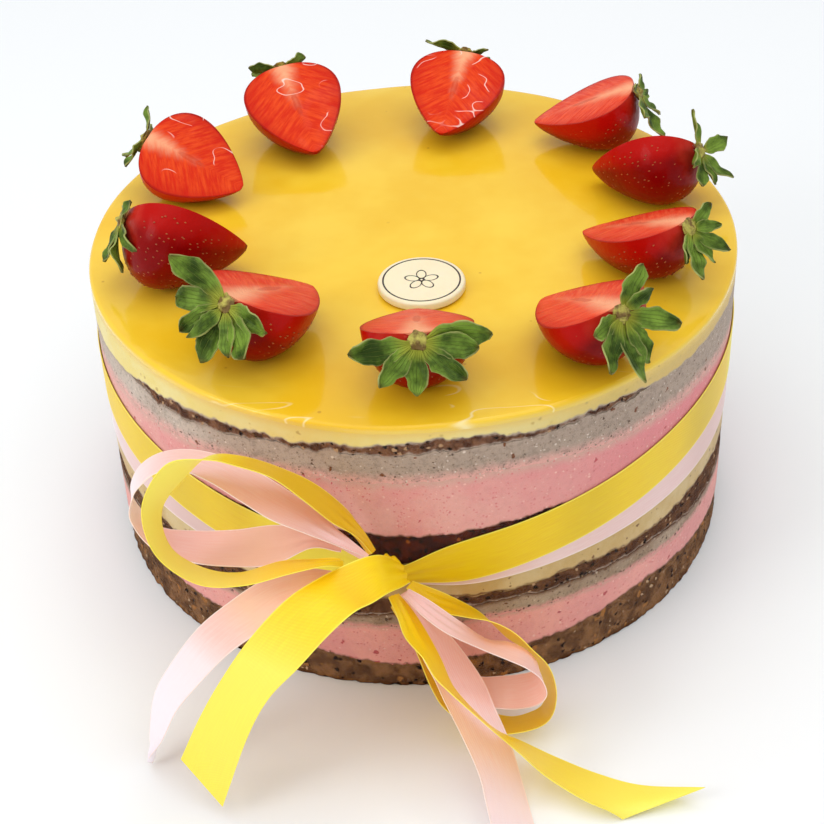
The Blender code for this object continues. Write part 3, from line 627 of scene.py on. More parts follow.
def smooth(piece: bpy.types.Object, angle: float = 40.0) -> None:
    """Shade a mesh smooth, with sharp edges past an angle in degrees."""
    make_active(piece)
    bpy.ops.object.shade_smooth_by_angle(angle=math.radians(angle))


def tidy_faces(piece: bpy.types.Object, distance: float = 1e-6) -> None:
    """Merge a mesh's doubles and turn its faces outwards."""
    edit(piece)
    bpy.ops.mesh.remove_doubles(threshold=distance)
    bpy.ops.mesh.normals_make_consistent(inside=False)
    close_edit()


def join(pieces: Sequence[bpy.types.Object], name: str) -> bpy.types.Object:
    """Join meshes into the first one and name it."""
    make_active(pieces[0])
    for other in pieces[1:]:
        other.select_set(True)
    bpy.ops.object.join()
    pieces[0].name = name
    pieces[0].data.name = name
    return pieces[0]


def mesh_object(name: str, points: Sequence[Sequence[float]], faces: Sequence[Sequence[int]],
                edges: Sequence[Sequence[int]] = ()) -> bpy.types.Object:
    """Return a new object from points and faces."""
    mesh = bpy.data.meshes.new(name)
    mesh.from_pydata([tuple(point) for point in points], edges, faces)
    piece = bpy.data.objects.new(name, mesh)
    bpy.context.scene.collection.objects.link(piece)
    return piece


def turned(name: str, profile: Sequence[tuple[float, float]], steps: int) -> bpy.types.Object:
    """Spin a profile once round the Z axis.

    Args:
        name: Name of the object.
        profile: Pairs of a radius and a height, from the bottom up.
        steps: Steps in the turn.

    Returns:
        A closed mesh with outward faces.
    """
    points = [(0.0, -radius, height) for radius, height in profile]
    piece = mesh_object(name, points, [], [(at, at + 1) for at in range(len(points) - 1)])
    edit(piece)
    bpy.ops.mesh.spin(steps=steps, angle=TURN, center=(0, 0, 0), axis=(0, 0, 1))
    close_edit()
    tidy_faces(piece, 1e-5)
    return piece


def settle(piece: bpy.types.Object, slot: str, *nodes: str) -> bpy.types.Object:
    """Ride a finished piece on the cake, and say what it stands for.

    Args:
        piece: The piece.
        slot: The record's slot for its finish; not used.
        nodes: The solids that it replaces.

    Returns:
        The piece.
    """
    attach(piece, "root")
    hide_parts(*nodes)
    log.info("%s: %d faces for %s", piece.name, len(piece.data.polygons), ", ".join(nodes))
    return piece


Wave = tuple[float, tuple[tuple[float, float, float], ...]]


@dataclass
class LayerPlan:
    """One layer: its name, seams, finish, slot, and the depth of its pits."""

    name: str
    under: Optional[str]
    over: str
    finish: FoodFinish
    slot: str
    pits: float = 0.0
    rows: int = 1


@dataclass
class CakeBody:
    """The stack of layers, the glaze and the film.

    Seams and waves are in mm, with each wave as a size, a number in one turn and
    a crest in degrees from the front.
    """

    radius: float = 100 * MM
    top: float = 98 * MM
    sides: int = 720
    seams: dict[str, Wave] = field(default_factory=lambda: {
        "glaze": (95.9, ((0.3, 3, 40), (0.2, 11, 8))),
        "thin_sponge": (89.4, ((2.6, 1, 85), (0.8, 3, 0), (0.3, 12, 5))),
        "speckled_upper": (77.8, ((1.5, 2, 12), (0.5, 9, 15))),
        "pink_upper": (62.6, ((-3.0, 3, -4), (0.5, 10, 20))),
        "dark_sponge": (48.4, ((0.6, 4, 10), (0.4, 9, 0))),
        "cream_lower": (37.9, ((-2.2, 1, 0), (0.4, 11, 25))),
        "brown_sponge": (29.0, ((2.6, 3, 20), (0.5, 10, 4))),
        "speckled_lower": (24.6, ((1.0, 4, 20), (0.3, 13, 12))),
        "pink_lower": (12.4, ((-3.0, 4, -1), (0.5, 11, 9))),
    })
    ragged: dict[str, float] = field(default_factory=lambda: {
        "glaze": 0.15, "thin_sponge": 0.9, "speckled_upper": 0.8, "pink_upper": 1.4, "dark_sponge": 1.3,
        "cream_lower": 1.3, "brown_sponge": 1.2, "speckled_lower": 0.9, "pink_lower": 1.4})
    sponge_wave: Wave = (3.1, ((1.3, 8, 2),))
    rim_wave: Wave = (98.0, ((0.3, 5, 18), (0.15, 13, 7)))
    rounding: float = 1.3 * MM
    sponge_radius: float = 96 * MM
    sponge_shift: float = 5.3 * MM
    sponge_front: float = math.radians(-8)
    slit: float = 0.02 * MM

    def plans(self) -> tuple[LayerPlan, ...]:
        """Return the plan of every plain layer, from the plate up."""
        return (
            LayerPlan("base_sponge", None, "pink_lower", BASE_SPONGE, "sponge_base", 0.75 * MM, 16),
            LayerPlan("pink_mousse_lower", "pink_lower", "speckled_lower", PINK_LOWER, "pink_mousse"),
            LayerPlan("speckled_mousse_lower", "speckled_lower", "brown_sponge", MOUSSE_LOWER,
                      "speckled_mousse"),
            LayerPlan("brown_sponge", "brown_sponge", "cream_lower", BROWN_SPONGE, "sponge_brown",
                      0.5 * MM, 10),
            LayerPlan("cream_lower", "cream_lower", "dark_sponge", CREAM_LOWER, "cream"),
            LayerPlan("dark_sponge", "dark_sponge", "pink_upper", DARK_SPONGE, "sponge_dark", 0.5 * MM, 14),
            LayerPlan("pink_mousse_upper", "pink_upper", "speckled_upper", PINK_UPPER, "pink_mousse"),
        )

    @staticmethod
    def wave(shape: Wave, angle: float) -> float:
        """Return a wavy height in metres at an angle from the front."""
        mean, waves = shape
        ripple = sum(size * math.cos(turns * (angle - math.radians(crest))) for size, turns, crest in waves)
        return (mean + ripple) * MM

    def seam(self, name: Optional[str], angle: float) -> float:
        """Return the height of a seam with its crumbs, or 0 where there is none."""
        if name is None:
            return 0.0
        around = Vector((math.sin(angle), -math.cos(angle), 3.7 * len(name)))
        crumbs = (noise.noise(around * 14) * 0.6 + noise.noise(around * 38) * 0.5
                  + noise.noise(around * 85) * 0.35)
        return self.wave(self.seams[name], angle) + self.ragged[name] * crumbs * MM

    def mean(self, name: Optional[str]) -> float:
        """Return a seam's mean height, which it has at the middle."""
        return self.seams[name][0] * MM if name else 0.0

    def between(self, name: str, under: Callable[[float], float], over: Callable[[float], float],
                middles: tuple[float, float], reach: Callable[[float], float], rows: int) -> bpy.types.Object:
        """Make a round layer between two wavy heights.

        Args:
            name: Name of the piece.
            under: Height of its lower edge at an angle.
            over: Height of its upper edge at an angle.
            middles: Its lower and upper height at the middle.
            reach: Its radius at an angle.
            rows: Rows of faces up its side.

        Returns:
            The layer, with its distance from both seams stored in mm.
        """
        side = [(1.0, row / rows) for row in range(rows + 1)]
        piece = turned(name, [(0.0, 0.0), (0.9, 0.0), *side, (0.9, 1.0), (0.0, 1.0)], self.sides)
        points = points_of(piece)
        seam = np.zeros_like(points)
        for at, (x, y, share) in enumerate(points):
            out = min(1.0, math.hypot(x, y))
            angle = math.atan2(x, -y)
            low = middles[0] + (under(angle) - middles[0]) * out
            high = middles[1] + (over(angle) - middles[1]) * out
            radius = reach(angle) * out
            points[at] = (radius * math.sin(angle), -radius * math.cos(angle), low + (high - low) * share)
            seam[at] = ((high - low) * share / MM, (high - low) * (1 - share) / MM, 0)
        move_points(piece, points)
        store(piece, "seam", seam)
        return piece

    def pit(self, piece: bpy.types.Object, depth: float) -> None:
        """Sink crumb pits into a layer's side."""
        points = points_of(piece)
        side = np.hypot(points[:, 0], points[:, 1]) > self.radius * 0.985
        group = piece.vertex_groups.new(name="side")
        group.add([int(at) for at in np.nonzero(side)[0]], 1.0, "REPLACE")
        crumbs = bpy.data.textures.new(piece.name + "_crumbs", "CLOUDS")
        crumbs.noise_scale = 2.8 * MM
        crumbs.noise_depth = 2
        crumbs.contrast = 1.8
        sink = piece.modifiers.new("crumbs", "DISPLACE")
        sink.texture = crumbs
        sink.texture_coords = "LOCAL"
        sink.vertex_group = "side"
        sink.mid_level = 0.0
        sink.strength = -depth
        apply(piece)

    def layer(self, plan: LayerPlan) -> bpy.types.Object:
        """Make and dress one plain layer."""
        piece = self.between(
            plan.name + "_look",
            lambda angle: self.seam(plan.under, angle) + (self.slit if plan.under else 0),
            lambda angle: self.seam(plan.over, angle) - self.slit,
            (self.mean(plan.under), self.mean(plan.over) - self.slit),
            lambda angle: self.radius, plan.rows)
        if plan.pits:
            self.pit(piece, plan.pits)
        smooth(piece)
        piece.data.materials.append(plan.finish.material())
        return settle(piece, plan.slot, plan.name)

    def sponge_reach(self, angle: float) -> float:
        """Return how far the thin sponge reaches, at most to the side."""
        turn = angle - self.sponge_front
        across = self.sponge_shift * math.sin(turn)
        reach = self.sponge_shift * math.cos(turn) + math.sqrt(self.sponge_radius ** 2 - across ** 2)
        return min(self.radius, reach)

    def sponge_share(self, angle: float) -> float:
        """Return how much of the thin sponge shows at the side, fading at its two ends."""
        return ease(self.radius - 0.6 * MM, self.radius, self.sponge_reach(angle))

    def sponge_edge(self, angle: float, way: int) -> float:
        """Return the height of the thin sponge's lower or upper edge at the side."""
        around = Vector((math.sin(angle), -math.cos(angle), 5.0 * way))
        crumbs = (noise.noise(around * 16) * 0.9 + noise.noise(around * 44) * 0.9
                  + noise.noise(around * 90) * 0.5) * MM
        half = self.wave(self.sponge_wave, angle) / 2 * self.sponge_share(angle)
        return self.seam("thin_sponge", angle) + way * half + crumbs * self.sponge_share(angle)

    def upper_layers(self) -> list[bpy.types.Object]:
        """Make the cream, the thin sponge and the speckled mousse, which share one seam."""
        mean = self.mean("thin_sponge")
        half = self.sponge_wave[0] * MM / 2
        cream = self.between(
            "cream_upper_look", lambda angle: self.sponge_edge(angle, 1) + self.slit,
            lambda angle: self.seam("glaze", angle) - self.slit,
            (mean + half + self.slit, self.mean("glaze")), lambda angle: self.radius, 1)
        mousse = self.between(
            "speckled_mousse_upper_look", lambda angle: self.seam("speckled_upper", angle) + self.slit,
            lambda angle: self.sponge_edge(angle, -1) - self.slit,
            (self.mean("speckled_upper") + self.slit, mean - half - self.slit), lambda angle: self.radius, 1)
        sponge = self.between(
            "thin_sponge_look", lambda angle: self.sponge_edge(angle, -1),
            lambda angle: self.sponge_edge(angle, 1), (mean - half, mean + half), self.sponge_reach, 6)
        self.pit(sponge, 0.4 * MM)
        made = []
        for piece, finish, slot, node in (
                (cream, CREAM_UPPER, "cream", "cream_upper"),
                (mousse, MOUSSE_UPPER, "speckled_mousse", "speckled_mousse_upper"),
                (sponge, THIN_SPONGE, "sponge_thin", "thin_sponge")):
            smooth(piece)
            piece.data.materials.append(finish.material())
            made.append(settle(piece, slot, node))
        return made

    def glaze(self) -> bpy.types.Object:
        """Make the glaze, with its soft rim and slightly uneven top."""
        rings = [(share, 2.0) for share in np.linspace(0.0, 0.955, 40)[::-1]]
        bend = [(1 - self.rounding / self.radius * (1 - math.cos(turn)), 1 + math.sin(turn))
                for turn in np.linspace(0, math.pi / 2, 6)]
        profile = [(0.0, 0.0), (0.9, 0.0), (1.0, 0.0), *bend, *rings]
        piece = turned("glaze_look", profile, self.sides)
        points = points_of(piece)
        seam = np.zeros_like(points)
        for at, (x, y, share) in enumerate(points):
            out = math.hypot(x, y)
            angle = math.atan2(x, -y)
            bottom = self.mean("glaze") + (self.seam("glaze", angle) - self.mean("glaze")) * min(1.0, out)
            rim = self.wave(self.rim_wave, angle)
            edge = rim - self.rounding
            crown = self.top + (rim - self.top) * ease(0.93, 0.985, out)
            if share <= 1:
                height = bottom + (edge - bottom) * share
            else:
                height = edge + (crown - edge) * (share - 1)
                height += self.ripple(x, y, out, angle) * (share - 1) ** 4
            points[at] = (x * self.radius, y * self.radius, height)
            seam[at] = ((height - bottom) / MM + (1 - min(1.0, out)) * self.radius / MM, 0, 0)
        move_points(piece, points)
        store(piece, "seam", seam)
        smooth(piece, 60)
        piece.data.materials.append(glaze_material())
        return settle(piece, "glaze", "glaze")

    def ripple(self, x: float, y: float, out: float, angle: float) -> float:
        """Return how far the glaze's top rises or sinks from flat."""
        here = Vector((x, y, 0.3))
        soft = noise.noise(here * 3.2) * 0.14 + noise.noise(here * 9) * 0.05
        front = ease(0.80, 0.92, out) * (1 - ease(0.975, 1.0, out)) * ease(1.0, 0.5, abs(angle + 0.02))
        fine = noise.noise(Vector((angle * 6, out * 34, 0.7))) * 0.16 * front
        return (soft + fine) * MM

    def film(self) -> bpy.types.Object:
        """Make the clear film round the side."""
        inner, outer = self.radius + 0.05 * MM, self.radius + 0.12 * MM
        low, high = 2 * MM, 97 * MM
        outline = [(inner, low), (outer, low), (outer, high), (inner, high), (inner, low)]
        piece = turned("clear_film_look", outline, self.sides)
        smooth(piece, 50)
        piece.data.materials.append(film_material())
        return settle(piece, "film", "clear_film")

    def build(self) -> None:
        """Make the whole cake without its toppings."""
        for plan in self.plans():
            self.layer(plan)
        self.upper_layers()
        self.glaze()
        self.film()


Station = tuple[float, float, float, float, float, float]


@dataclass
class Strand:
    """One free strand of the bow.

    Attributes:
        name: The node that it stands for.
        flat: Its cut length in metres.
        pleat: Depth of the gathers at the knot, in metres.
        painted_sheen: Painted highlight and painted shade along it, as shares of its stations with
        values from -1, painted shade, to 1, painted highlight.
        stations: Its middle line in mm, and the way to the edge nearer the viewer.
    """

    name: str
    flat: float
    pleat: float
    painted_sheen: tuple[tuple[float, float], ...]
    stations: tuple[Station, ...]


@dataclass
class Ribbons:
    """The two ribbons: round the cake, and in the bow."""

    width: float = 16 * MM
    thickness: float = 0.22 * MM
    columns: int = 16
    steps: int = 10
    band_steps: int = 480
    knot_angle: float = math.radians(-5.7)
    knot_centre: Vector = field(default_factory=lambda: Vector((-10.6, -108.6, 54.2)) * MM)
    knot_radii: Vector = field(default_factory=lambda: Vector((4.6, 5.0, 5.0)) * MM)
    pinch: float = 0.62
    pinch_spread: float = math.radians(8)
    # Each strand's list of pairs is its painted highlight, above 0, and painted shade, below 0, along it.
    strands: tuple[Strand, ...] = (
        Strand("loop_yellow_left", 0.152, 0.9 * MM,
               ((0, -1), (0.34, -0.7), (0.42, 0.6), (0.5, 1), (0.72, 0.9), (0.88, 0), (1, -0.6)), (
            (-14.5, -106, 59.5, -0.5, -2.5, 1.5), (-18, -106, 67, -1, -4, 2),
            (-23, -107, 74.5, -2, -5.5, 2.5),
            (-30, -110, 85.5, -1.5, -6.5, 3), (-38, -112, 94, -0.5, -7, 4), (-47, -114, 100, 0, -7, 4),
            (-54.5, -116, 103, 0.5, -6.5, 4.5), (-63, -117, 100, -1.5, -5, 6),
            (-70.5, -118, 88.5, -1.5, -5.5, 5), (-69, -120, 75.5, -1, -6, 4), (-60, -122, 68, 0, -7, 3.5),
            (-49, -123.5, 67.5, 1, -7, 4), (-37, -123.5, 71, 1.5, -6.5, 3.5),
            (-27.5, -121.5, 70.5, 1.5, -4.5, 3), (-22.5, -119, 68, 1, -2, 1))),
        Strand("loop_pink_left", 0.149, 0.9 * MM,
               ((0, 0), (0.4, 0.1), (0.5, 0.4), (0.6, 0.9), (0.7, 0.1), (0.85, -0.7), (1, -0.3)), (
            (-16, -112.5, 63.5, -0.5, -2, 1.5), (-22, -112.5, 69.5, -1, -4, 1.5),
            (-29.5, -112.5, 76.5, -1.5, -6, 1.5), (-38, -112, 83, -2, -7, 1),
            (-46, -109, 87.5, -1.5, -7.5, 1),
            (-54.5, -105.5, 91, -1.5, -7.5, 2), (-63, -102.5, 92, -0.5, -7.5, 2.5),
            (-70.5, -101, 90, 0.5, -7.5, 2.5), (-76, -100, 85, 1.5, -7.5, 3), (-79, -100, 79, 1.5, -6.5, 4),
            (-78.5, -101, 72, -0.5, -6.5, 4), (-73.5, -103, 65.5, -0.5, -7, 2.5),
            (-63.5, -105.5, 64, -0.5, -7.5, 1), (-52.5, -107.5, 64.5, -0.5, -7.5, 0),
            (-41, -108, 65.5, 0, -7, -1), (-30.5, -107, 66.5, 0, -5.5, 1.5), (-22.5, -107, 63, 0, -3, 1.5))),
        Strand("tail_pink_left", 0.098, 0.9 * MM,
               ((0, 0.1), (0.3, 0), (0.42, -0.6), (0.62, 0.6), (1, 0.9)), (
            (-17, -120.5, 63.5, 1.5, -3, 0), (-22, -121.5, 64, 2.5, -4, 0), (-30, -123, 64.5, 3.5, -6, 0),
            (-40, -123, 60.5, 4, -7, 0.5), (-49.5, -124, 54, 4.5, -6.5, 0.5),
            (-58.5, -125, 46.5, 4.5, -6.5, 1),
            (-66.5, -126.5, 37, 4.5, -6.5, 2), (-73.5, -127, 26, 4, -6.5, 3), (-77.5, -128, 14, 3, -6, 4.5),
            (-80.5, -128, 3, 0.5, -1, 2))),
        Strand("tail_yellow_left", 0.105, 0.5 * MM,
               ((0, -0.4), (0.25, 0), (0.4, -0.6), (0.55, 0), (0.7, 0.6), (1, 0.5)), (
            (-5.5, -110.5, 55.5, 1, -3.5, -0.5), (-8, -115, 60, 1.5, -5, -1),
            (-11.5, -122, 66, 1.5, -6, -1.5),
            (-16.5, -127, 68, 2.5, -6.5, -1.5), (-24, -131.5, 67.5, 5, -6, -0.5),
            (-32, -134, 62, 6, -5, -1.5), (-41.5, -136.5, 51.5, 7, -4, -1), (-50, -138.5, 40.5, 7, -3.5, 0.5),
            (-56.5, -141, 29, 7, -4.5, 1), (-64, -143, 10, 5.5, -4, -5.5))),
        Strand("loop_yellow_right", 0.127, 0.7 * MM,
               ((0, -0.4), (0.15, -0.8), (0.3, 0.1), (0.5, 0.3), (0.7, -0.3), (1, -0.6)), (
            (-4.5, -106.5, 47.5, -0.5, -2.5, 1.5), (0, -107, 43, -1, -4, 0.5), (6, -107.5, 40, -1.5, -5, 2),
            (13, -109.5, 38, -1.5, -5.5, 4), (18.5, -111, 35.5, -0.5, -5, 5.5),
            (23.5, -112.5, 32, 0.5, -5, 6), (28.5, -115, 28.5, 0.5, -5.5, 5.5),
            (32.5, -117, 23.5, 1, -5.5, 5.5), (34.5, -119, 16, 1, -5.5, 5.5), (33.5, -120.5, 10, 1, -6, 4.5),
            (30, -121, 6.5, 1, -6.5, 4), (23.5, -121, 4.5, 0, -6.5, 3.5), (16, -119.5, 4.5, -1, -7, 3),
            (7, -117, 10, -2, -6.5, 3.5), (2, -114, 17.5, -1.5, -6, 2), (-2.5, -110.5, 28.5, -1.5, -4.5, 2),
            (-9, -106, 39.5, -1, -2.5, 1.5))),
        Strand("loop_pink_right", 0.112, 0.7 * MM,
               ((0, 0), (0.3, -0.2), (0.5, 0.1), (0.7, -0.5), (1, -0.6)), (
            (-5.5, -113, 50.5, -0.5, -2, 1), (0, -117, 48, -1, -4, 1.5), (7, -120, 43.5, -1.5, -5, 2.5),
            (15.5, -119.5, 36, -1, -6, 4), (22, -122, 35.5, -0.5, -7, 3.5), (27, -125, 35, -0.5, -7, 3.5),
            (30.5, -126, 31, 0, -6.5, 3.5), (30.5, -126, 26.5, 1.5, -7, 2.5), (27.5, -125, 23, 2, -7, 1),
            (22, -121.5, 18.5, 1.5, -7, 0.5), (15.5, -118, 15.5, 1, -7, 1), (8.5, -116.5, 17.5, 0.5, -7, 0.5),
            (2, -113.5, 26, -0.5, -6, 0.5), (-3.5, -112, 38, -1, -4, 0.5),
            (-7.5, -109.5, 44, -0.5, -2.5, 1.5))),
        Strand("tail_pink_right", 0.077, 0.6 * MM,
               ((0, -0.2), (0.4, 0.2), (1, 0.6)), (
            (-6.5, -109, 46.5, 1, 2.5, -1.5), (-3.5, -112, 42.5, 3, 2.5, -2), (1, -114.5, 35.5, 5, 3, -3),
            (5, -118, 29, 6.5, 3, -3.5), (8.5, -123, 25, 7, 2.5, -3.5), (11, -129.5, 22.5, 7, 2, -3.5),
            (15.5, -137, 15, 6.5, 3, -4), (18.5, -144, 9, 6, 3, -4.5), (20, -151, 6, 6, 3.5, -4.5),
            (21.5, -161, 5, 6, 3.5, -4))),
        Strand("tail_yellow_right", 0.104, 0.6 * MM,
               ((0, -0.3), (0.3, 0.1), (0.5, -0.5), (0.75, 0.3), (1, 0.8)), (
            (-9, -115, 51.5, 1, 2, -1.5), (-6, -119, 48.5, 2, 3, -2.5), (-3, -124, 44.5, 3, 4, -3.5),
            (1, -128.5, 40, 2.5, 4.5, -5), (3.5, -131.5, 35.5, 2, 5, -5.5), (6.5, -135.5, 34, 1, 5.5, -5.5),
            (11.5, -138.5, 29.5, 0.5, 5.5, -5.5), (17.5, -140.5, 23.5, 0.5, 5.5, -5.5),
            (24.5, -138, 14, 1, 6, -4.5), (33, -138.5, 6, 2, 6.5, -3.5), (43.5, -144, 3.5, 3, 6.5, -2.5),
            (53, -147.5, 2.2, 5.5, 5.5, -1.5), (63, -151, 3.5, 11.5, 2.5, 3))),
    )

    @staticmethod
    def smooth_path(points: Sequence[Vector], steps: int) -> list[Vector]:
        """Return points on a Catmull-Rom curve through the given ones."""
        ends = [points[0] * 2 - points[1], *points, points[-1] * 2 - points[-2]]
        path = []
        for before, start, end, after in zip(ends, ends[1:], ends[2:], ends[3:]):
            for step in range(steps):
                t = step / steps
                path.append(0.5 * (2 * start + (end - before) * t
                                   + (2 * before - 5 * start + 4 * end - after) * t ** 2
                                   + (3 * start - before - 3 * end + after) * t ** 3))
        return [*path, points[-1]]

    def strip(self, name: str, middles: Sequence[Vector], halves: Sequence[Vector], pleats: Sequence[float],
              painted_sheens: Sequence[float], closed: bool = False) -> bpy.types.Object:
        """Make a thin ribbon along a path.

        Args:
            name: Name of the piece.
            middles: Its middle line.
            halves: From the middle to the edge at each place.
            pleats: Depth of its gathers at each place, in metres.
            painted_sheens: Painted highlight and painted shade at each place, from -1, painted shade, to 1,
                painted highlight.
            closed: Whether its end meets its start.

        Returns:
            The ribbon, with a UV map in millimetres across and along it.
        """
        count, columns = len(middles), self.columns
        points, walk, total = [], [], 0.0
        for place, (middle, half) in enumerate(zip(middles, halves)):
            before = middles[place - 1] if closed or place else middles[0]
            after = middles[(place + 1) % count] if closed else middles[min(place + 1, count - 1)]
            if place:
                total += (middle - middles[place - 1]).length
            walk.append(total / MM)
            lift = (after - before).cross(half).normalized()
            for column in range(columns + 1):
                across = 2 * column / columns - 1
                fold = pleats[place] * math.sin(across * math.pi * 2.5 + 0.4) * (1 - 0.2 * abs(across))
                points.append(middle + half * across + lift * fold)
        faces, corners = [], []
        for row in range(count if closed else count - 1):
            following = (row + 1) % count
            far = walk[row + 1] if row + 1 < count else total / MM + (middles[0] - middles[-1]).length / MM
            for column in range(columns):
                here, there = row * (columns + 1) + column, following * (columns + 1) + column
                faces.append((here, here + 1, there + 1, there))
                near_u, far_u = 16 * column / columns, 16 * (column + 1) / columns
                corners += [(near_u, walk[row]), (far_u, walk[row]), (far_u, far), (near_u, far)]
        piece = mesh_object(name, points, faces)
        uv = piece.data.uv_layers.new(name="ribbon")
        uv.data.foreach_set("uv", np.array(corners, dtype=float).ravel())
        # Store the painted highlight and shade values, which the ribbon material turns into colour.
        store(piece, "painted_sheen", np.repeat([(painted_sheen, 0, 0) for painted_sheen in painted_sheens], columns + 1, axis=0))
        thicken = piece.modifiers.new("thickness", "SOLIDIFY")
        thicken.thickness = self.thickness
        thicken.offset = 0
        apply(piece)
        tidy_faces(piece, 1e-7)
        smooth(piece, 50)
        return piece

    def finish_of(self, name: str, band: bool = False) -> bpy.types.Material:
        """Return the material of a ribbon by its name."""
        finish = RIBBON_FINISHES["yellow" in name, band]
        return bpy.data.materials.get(finish.name) or finish.material()

    def strand(self, plan: Strand) -> bpy.types.Object:
        """Make and dress one strand of the bow, in place of its solid."""
        middles = self.smooth_path([Vector(station[:3]) * MM for station in plan.stations], self.steps)
        halves = self.smooth_path([Vector(station[3:]) * MM for station in plan.stations], self.steps)
        pleats = [plan.pleat * ease(7.4 * MM, 3.0 * MM, half.length) for half in halves]
        shares = np.linspace(0, 1, len(middles))
        painted_sheens = np.interp(shares, *zip(*plan.painted_sheen))
        piece = self.strip(plan.name + "_look", middles, halves, pleats, painted_sheens)
        piece.data.materials.append(self.finish_of(plan.name))
        settle(piece, "satin_yellow" if "yellow" in plan.name else "satin_pink", plan.name)
        return piece

    def band(self, name: str, radius: float, climb: tuple[float, float, float, float]) -> bpy.types.Object:
        """Args:
            name: The node that it stands for.
            radius: Radius of its middle surface.
            climb: Height at the knot and rise in mm, the turn in degrees over which
                it rises, and how gently the rise starts.

        Returns:
            The piece.
        """
        start, rise, over, gentleness = climb
        middles, halves, pleats, painted_sheens = [], [], [], []
        for step in range(self.band_steps):
            angle = TURN * step / self.band_steps
            turn = math.remainder(angle - self.knot_angle, TURN)
            pinched = math.exp(-(turn / self.pinch_spread) ** 2)
            height = (start + rise * (1 - math.exp(-(abs(turn) / math.radians(over)) ** gentleness))) * MM
            height += noise.noise(Vector((math.sin(angle), math.cos(angle), radius * 900)) * 2.2) * 0.25 * MM
            reach = radius + 2.2 * MM * math.exp(-(turn / math.radians(5)) ** 2)
            middles.append(Vector((reach * math.sin(angle), -reach * math.cos(angle), height)))
            halves.append(Vector((0, 0, self.width / 2 * (1 - self.pinch * pinched))))
            pleats.append(0.25 * MM * pinched)
            # Painted highlight and shade: wandering painted highlights round the band, and painted shade near
            # the knot.
            drift = noise.noise(Vector((math.sin(angle), math.cos(angle), radius * 700)) * 2.6)
            painted_sheens.append(1.7 * drift - 0.8 * math.exp(-(turn / math.radians(8)) ** 2))
        piece = self.strip(name + "_look", middles, halves, pleats, painted_sheens, closed=True)
        piece.data.materials.append(self.finish_of(name, band=True))
        settle(piece, "satin_yellow" if "yellow" in name else "satin_pink", name)
        return piece

    def knot(self) -> bpy.types.Object:
        """Make the gathered wrap that holds the bow together."""
        bpy.ops.mesh.primitive_uv_sphere_add(segments=96, ring_count=64, radius=1,
                                             rotation=(0, math.radians(90), 0))
        piece = bpy.context.object
        bpy.ops.object.transform_apply(location=False, rotation=True, scale=False)
        points = points_of(piece)
        corners = {}
        for at, (x, y, z) in enumerate(points):
            pleat = 1 + 0.07 * math.cos(x * 13) * (1 - x * x) + 0.05 * noise.noise(Vector((x * 3, y, z)))
            turn = math.atan2(y, z)
            corners[at] = (8 + 8 * x, turn * 6)
            around = Vector((x, y * pleat, z * pleat))
            points[at] = self.knot_centre + Vector(a * b for a, b in zip(around, self.knot_radii))
        move_points(piece, points)
        piece.name = "knot_look"
        uv = piece.data.uv_layers[0]
        uv.name = "ribbon"
        for loop in piece.data.loops:
            uv.data[loop.index].uv = corners[loop.vertex_index]
        smooth(piece, 60)
        piece.data.materials.append(self.finish_of("yellow"))
        return settle(piece, "satin_yellow", "knot")

    def build(self) -> None:
        """Make both bands, the knot and every strand."""
        self.knot()
        self.band("band_pink", 100.25 * MM, (46.5, 10.0, 60, 1.2))
        self.band("band_yellow", 100.5 * MM, (47.0, 25.5, 60, 1.4))
        for plan in self.strands:
            self.strand(plan)



@dataclass
class Plaque:
    """The round white-chocolate disc, with a thin ring and a small flower in cocoa."""

    centre: Vector = field(default_factory=lambda: Vector((2.3, -33.0, 98.3)) * MM)
    radius: float = 13 * MM
    thickness: float = 2.8 * MM
    edge: float = 0.9 * MM
    ring: float = 11.4 * MM
    petals: int = 5

    def disc(self) -> bpy.types.Object:
        """Make the disc with its rounded edges."""
        middle = self.centre + Vector((0, 0, self.thickness / 2))
        bpy.ops.mesh.primitive_cylinder_add(vertices=128, radius=self.radius, depth=self.thickness,
                                            location=middle)
        disc = bpy.context.object
        bpy.ops.object.transform_apply(location=True, rotation=False, scale=False)
        round_off = disc.modifiers.new("edge", "BEVEL")
        round_off.width = self.edge
        round_off.segments = 6
        round_off.limit_method = "ANGLE"
        apply(disc)
        smooth(disc, 45)
        disc.data.materials.append(chocolate_material())
        return disc

    def motif(self) -> list[bpy.types.Object]:
        """Make the printed ring and flower, which stand just proud of the disc."""
        top = self.centre.z + self.thickness
        bpy.ops.mesh.primitive_torus_add(major_radius=self.ring, minor_radius=0.26 * MM, major_segments=128,
                                         minor_segments=8, location=(self.centre.x, self.centre.y, top))
        marks = [bpy.context.object]
        for petal in range(self.petals):
            turn = TURN * petal / self.petals + math.radians(90)
            out = Vector((math.cos(turn), math.sin(turn), 0)) * 2.9 * MM
            bpy.ops.mesh.primitive_torus_add(major_radius=1.75 * MM, minor_radius=0.2 * MM, major_segments=40,
                                             minor_segments=6, rotation=(0, 0, turn),
                                             location=Vector((self.centre.x, self.centre.y, top)) + out)
            petal_ring = bpy.context.object
            petal_ring.scale = (1.25, 0.8, 1)
            marks.append(petal_ring)
        bpy.ops.mesh.primitive_torus_add(major_radius=0.6 * MM, minor_radius=0.25 * MM, major_segments=24,
                                         minor_segments=6, location=(self.centre.x, self.centre.y, top))
        marks.append(bpy.context.object)
        cocoa = print_material()
        for mark in marks:
            make_active(mark)
            mark.scale.z = 0.25
            bpy.ops.object.transform_apply(location=True, rotation=True, scale=True)
            mark.data.materials.append(cocoa)
            bpy.ops.object.shade_smooth()
        return marks

    def build(self) -> bpy.types.Object:
        """Make the whole disc."""
        disc = self.disc()
        return settle(join([disc, *self.motif()], "plaque_look"), "chocolate", "plaque")


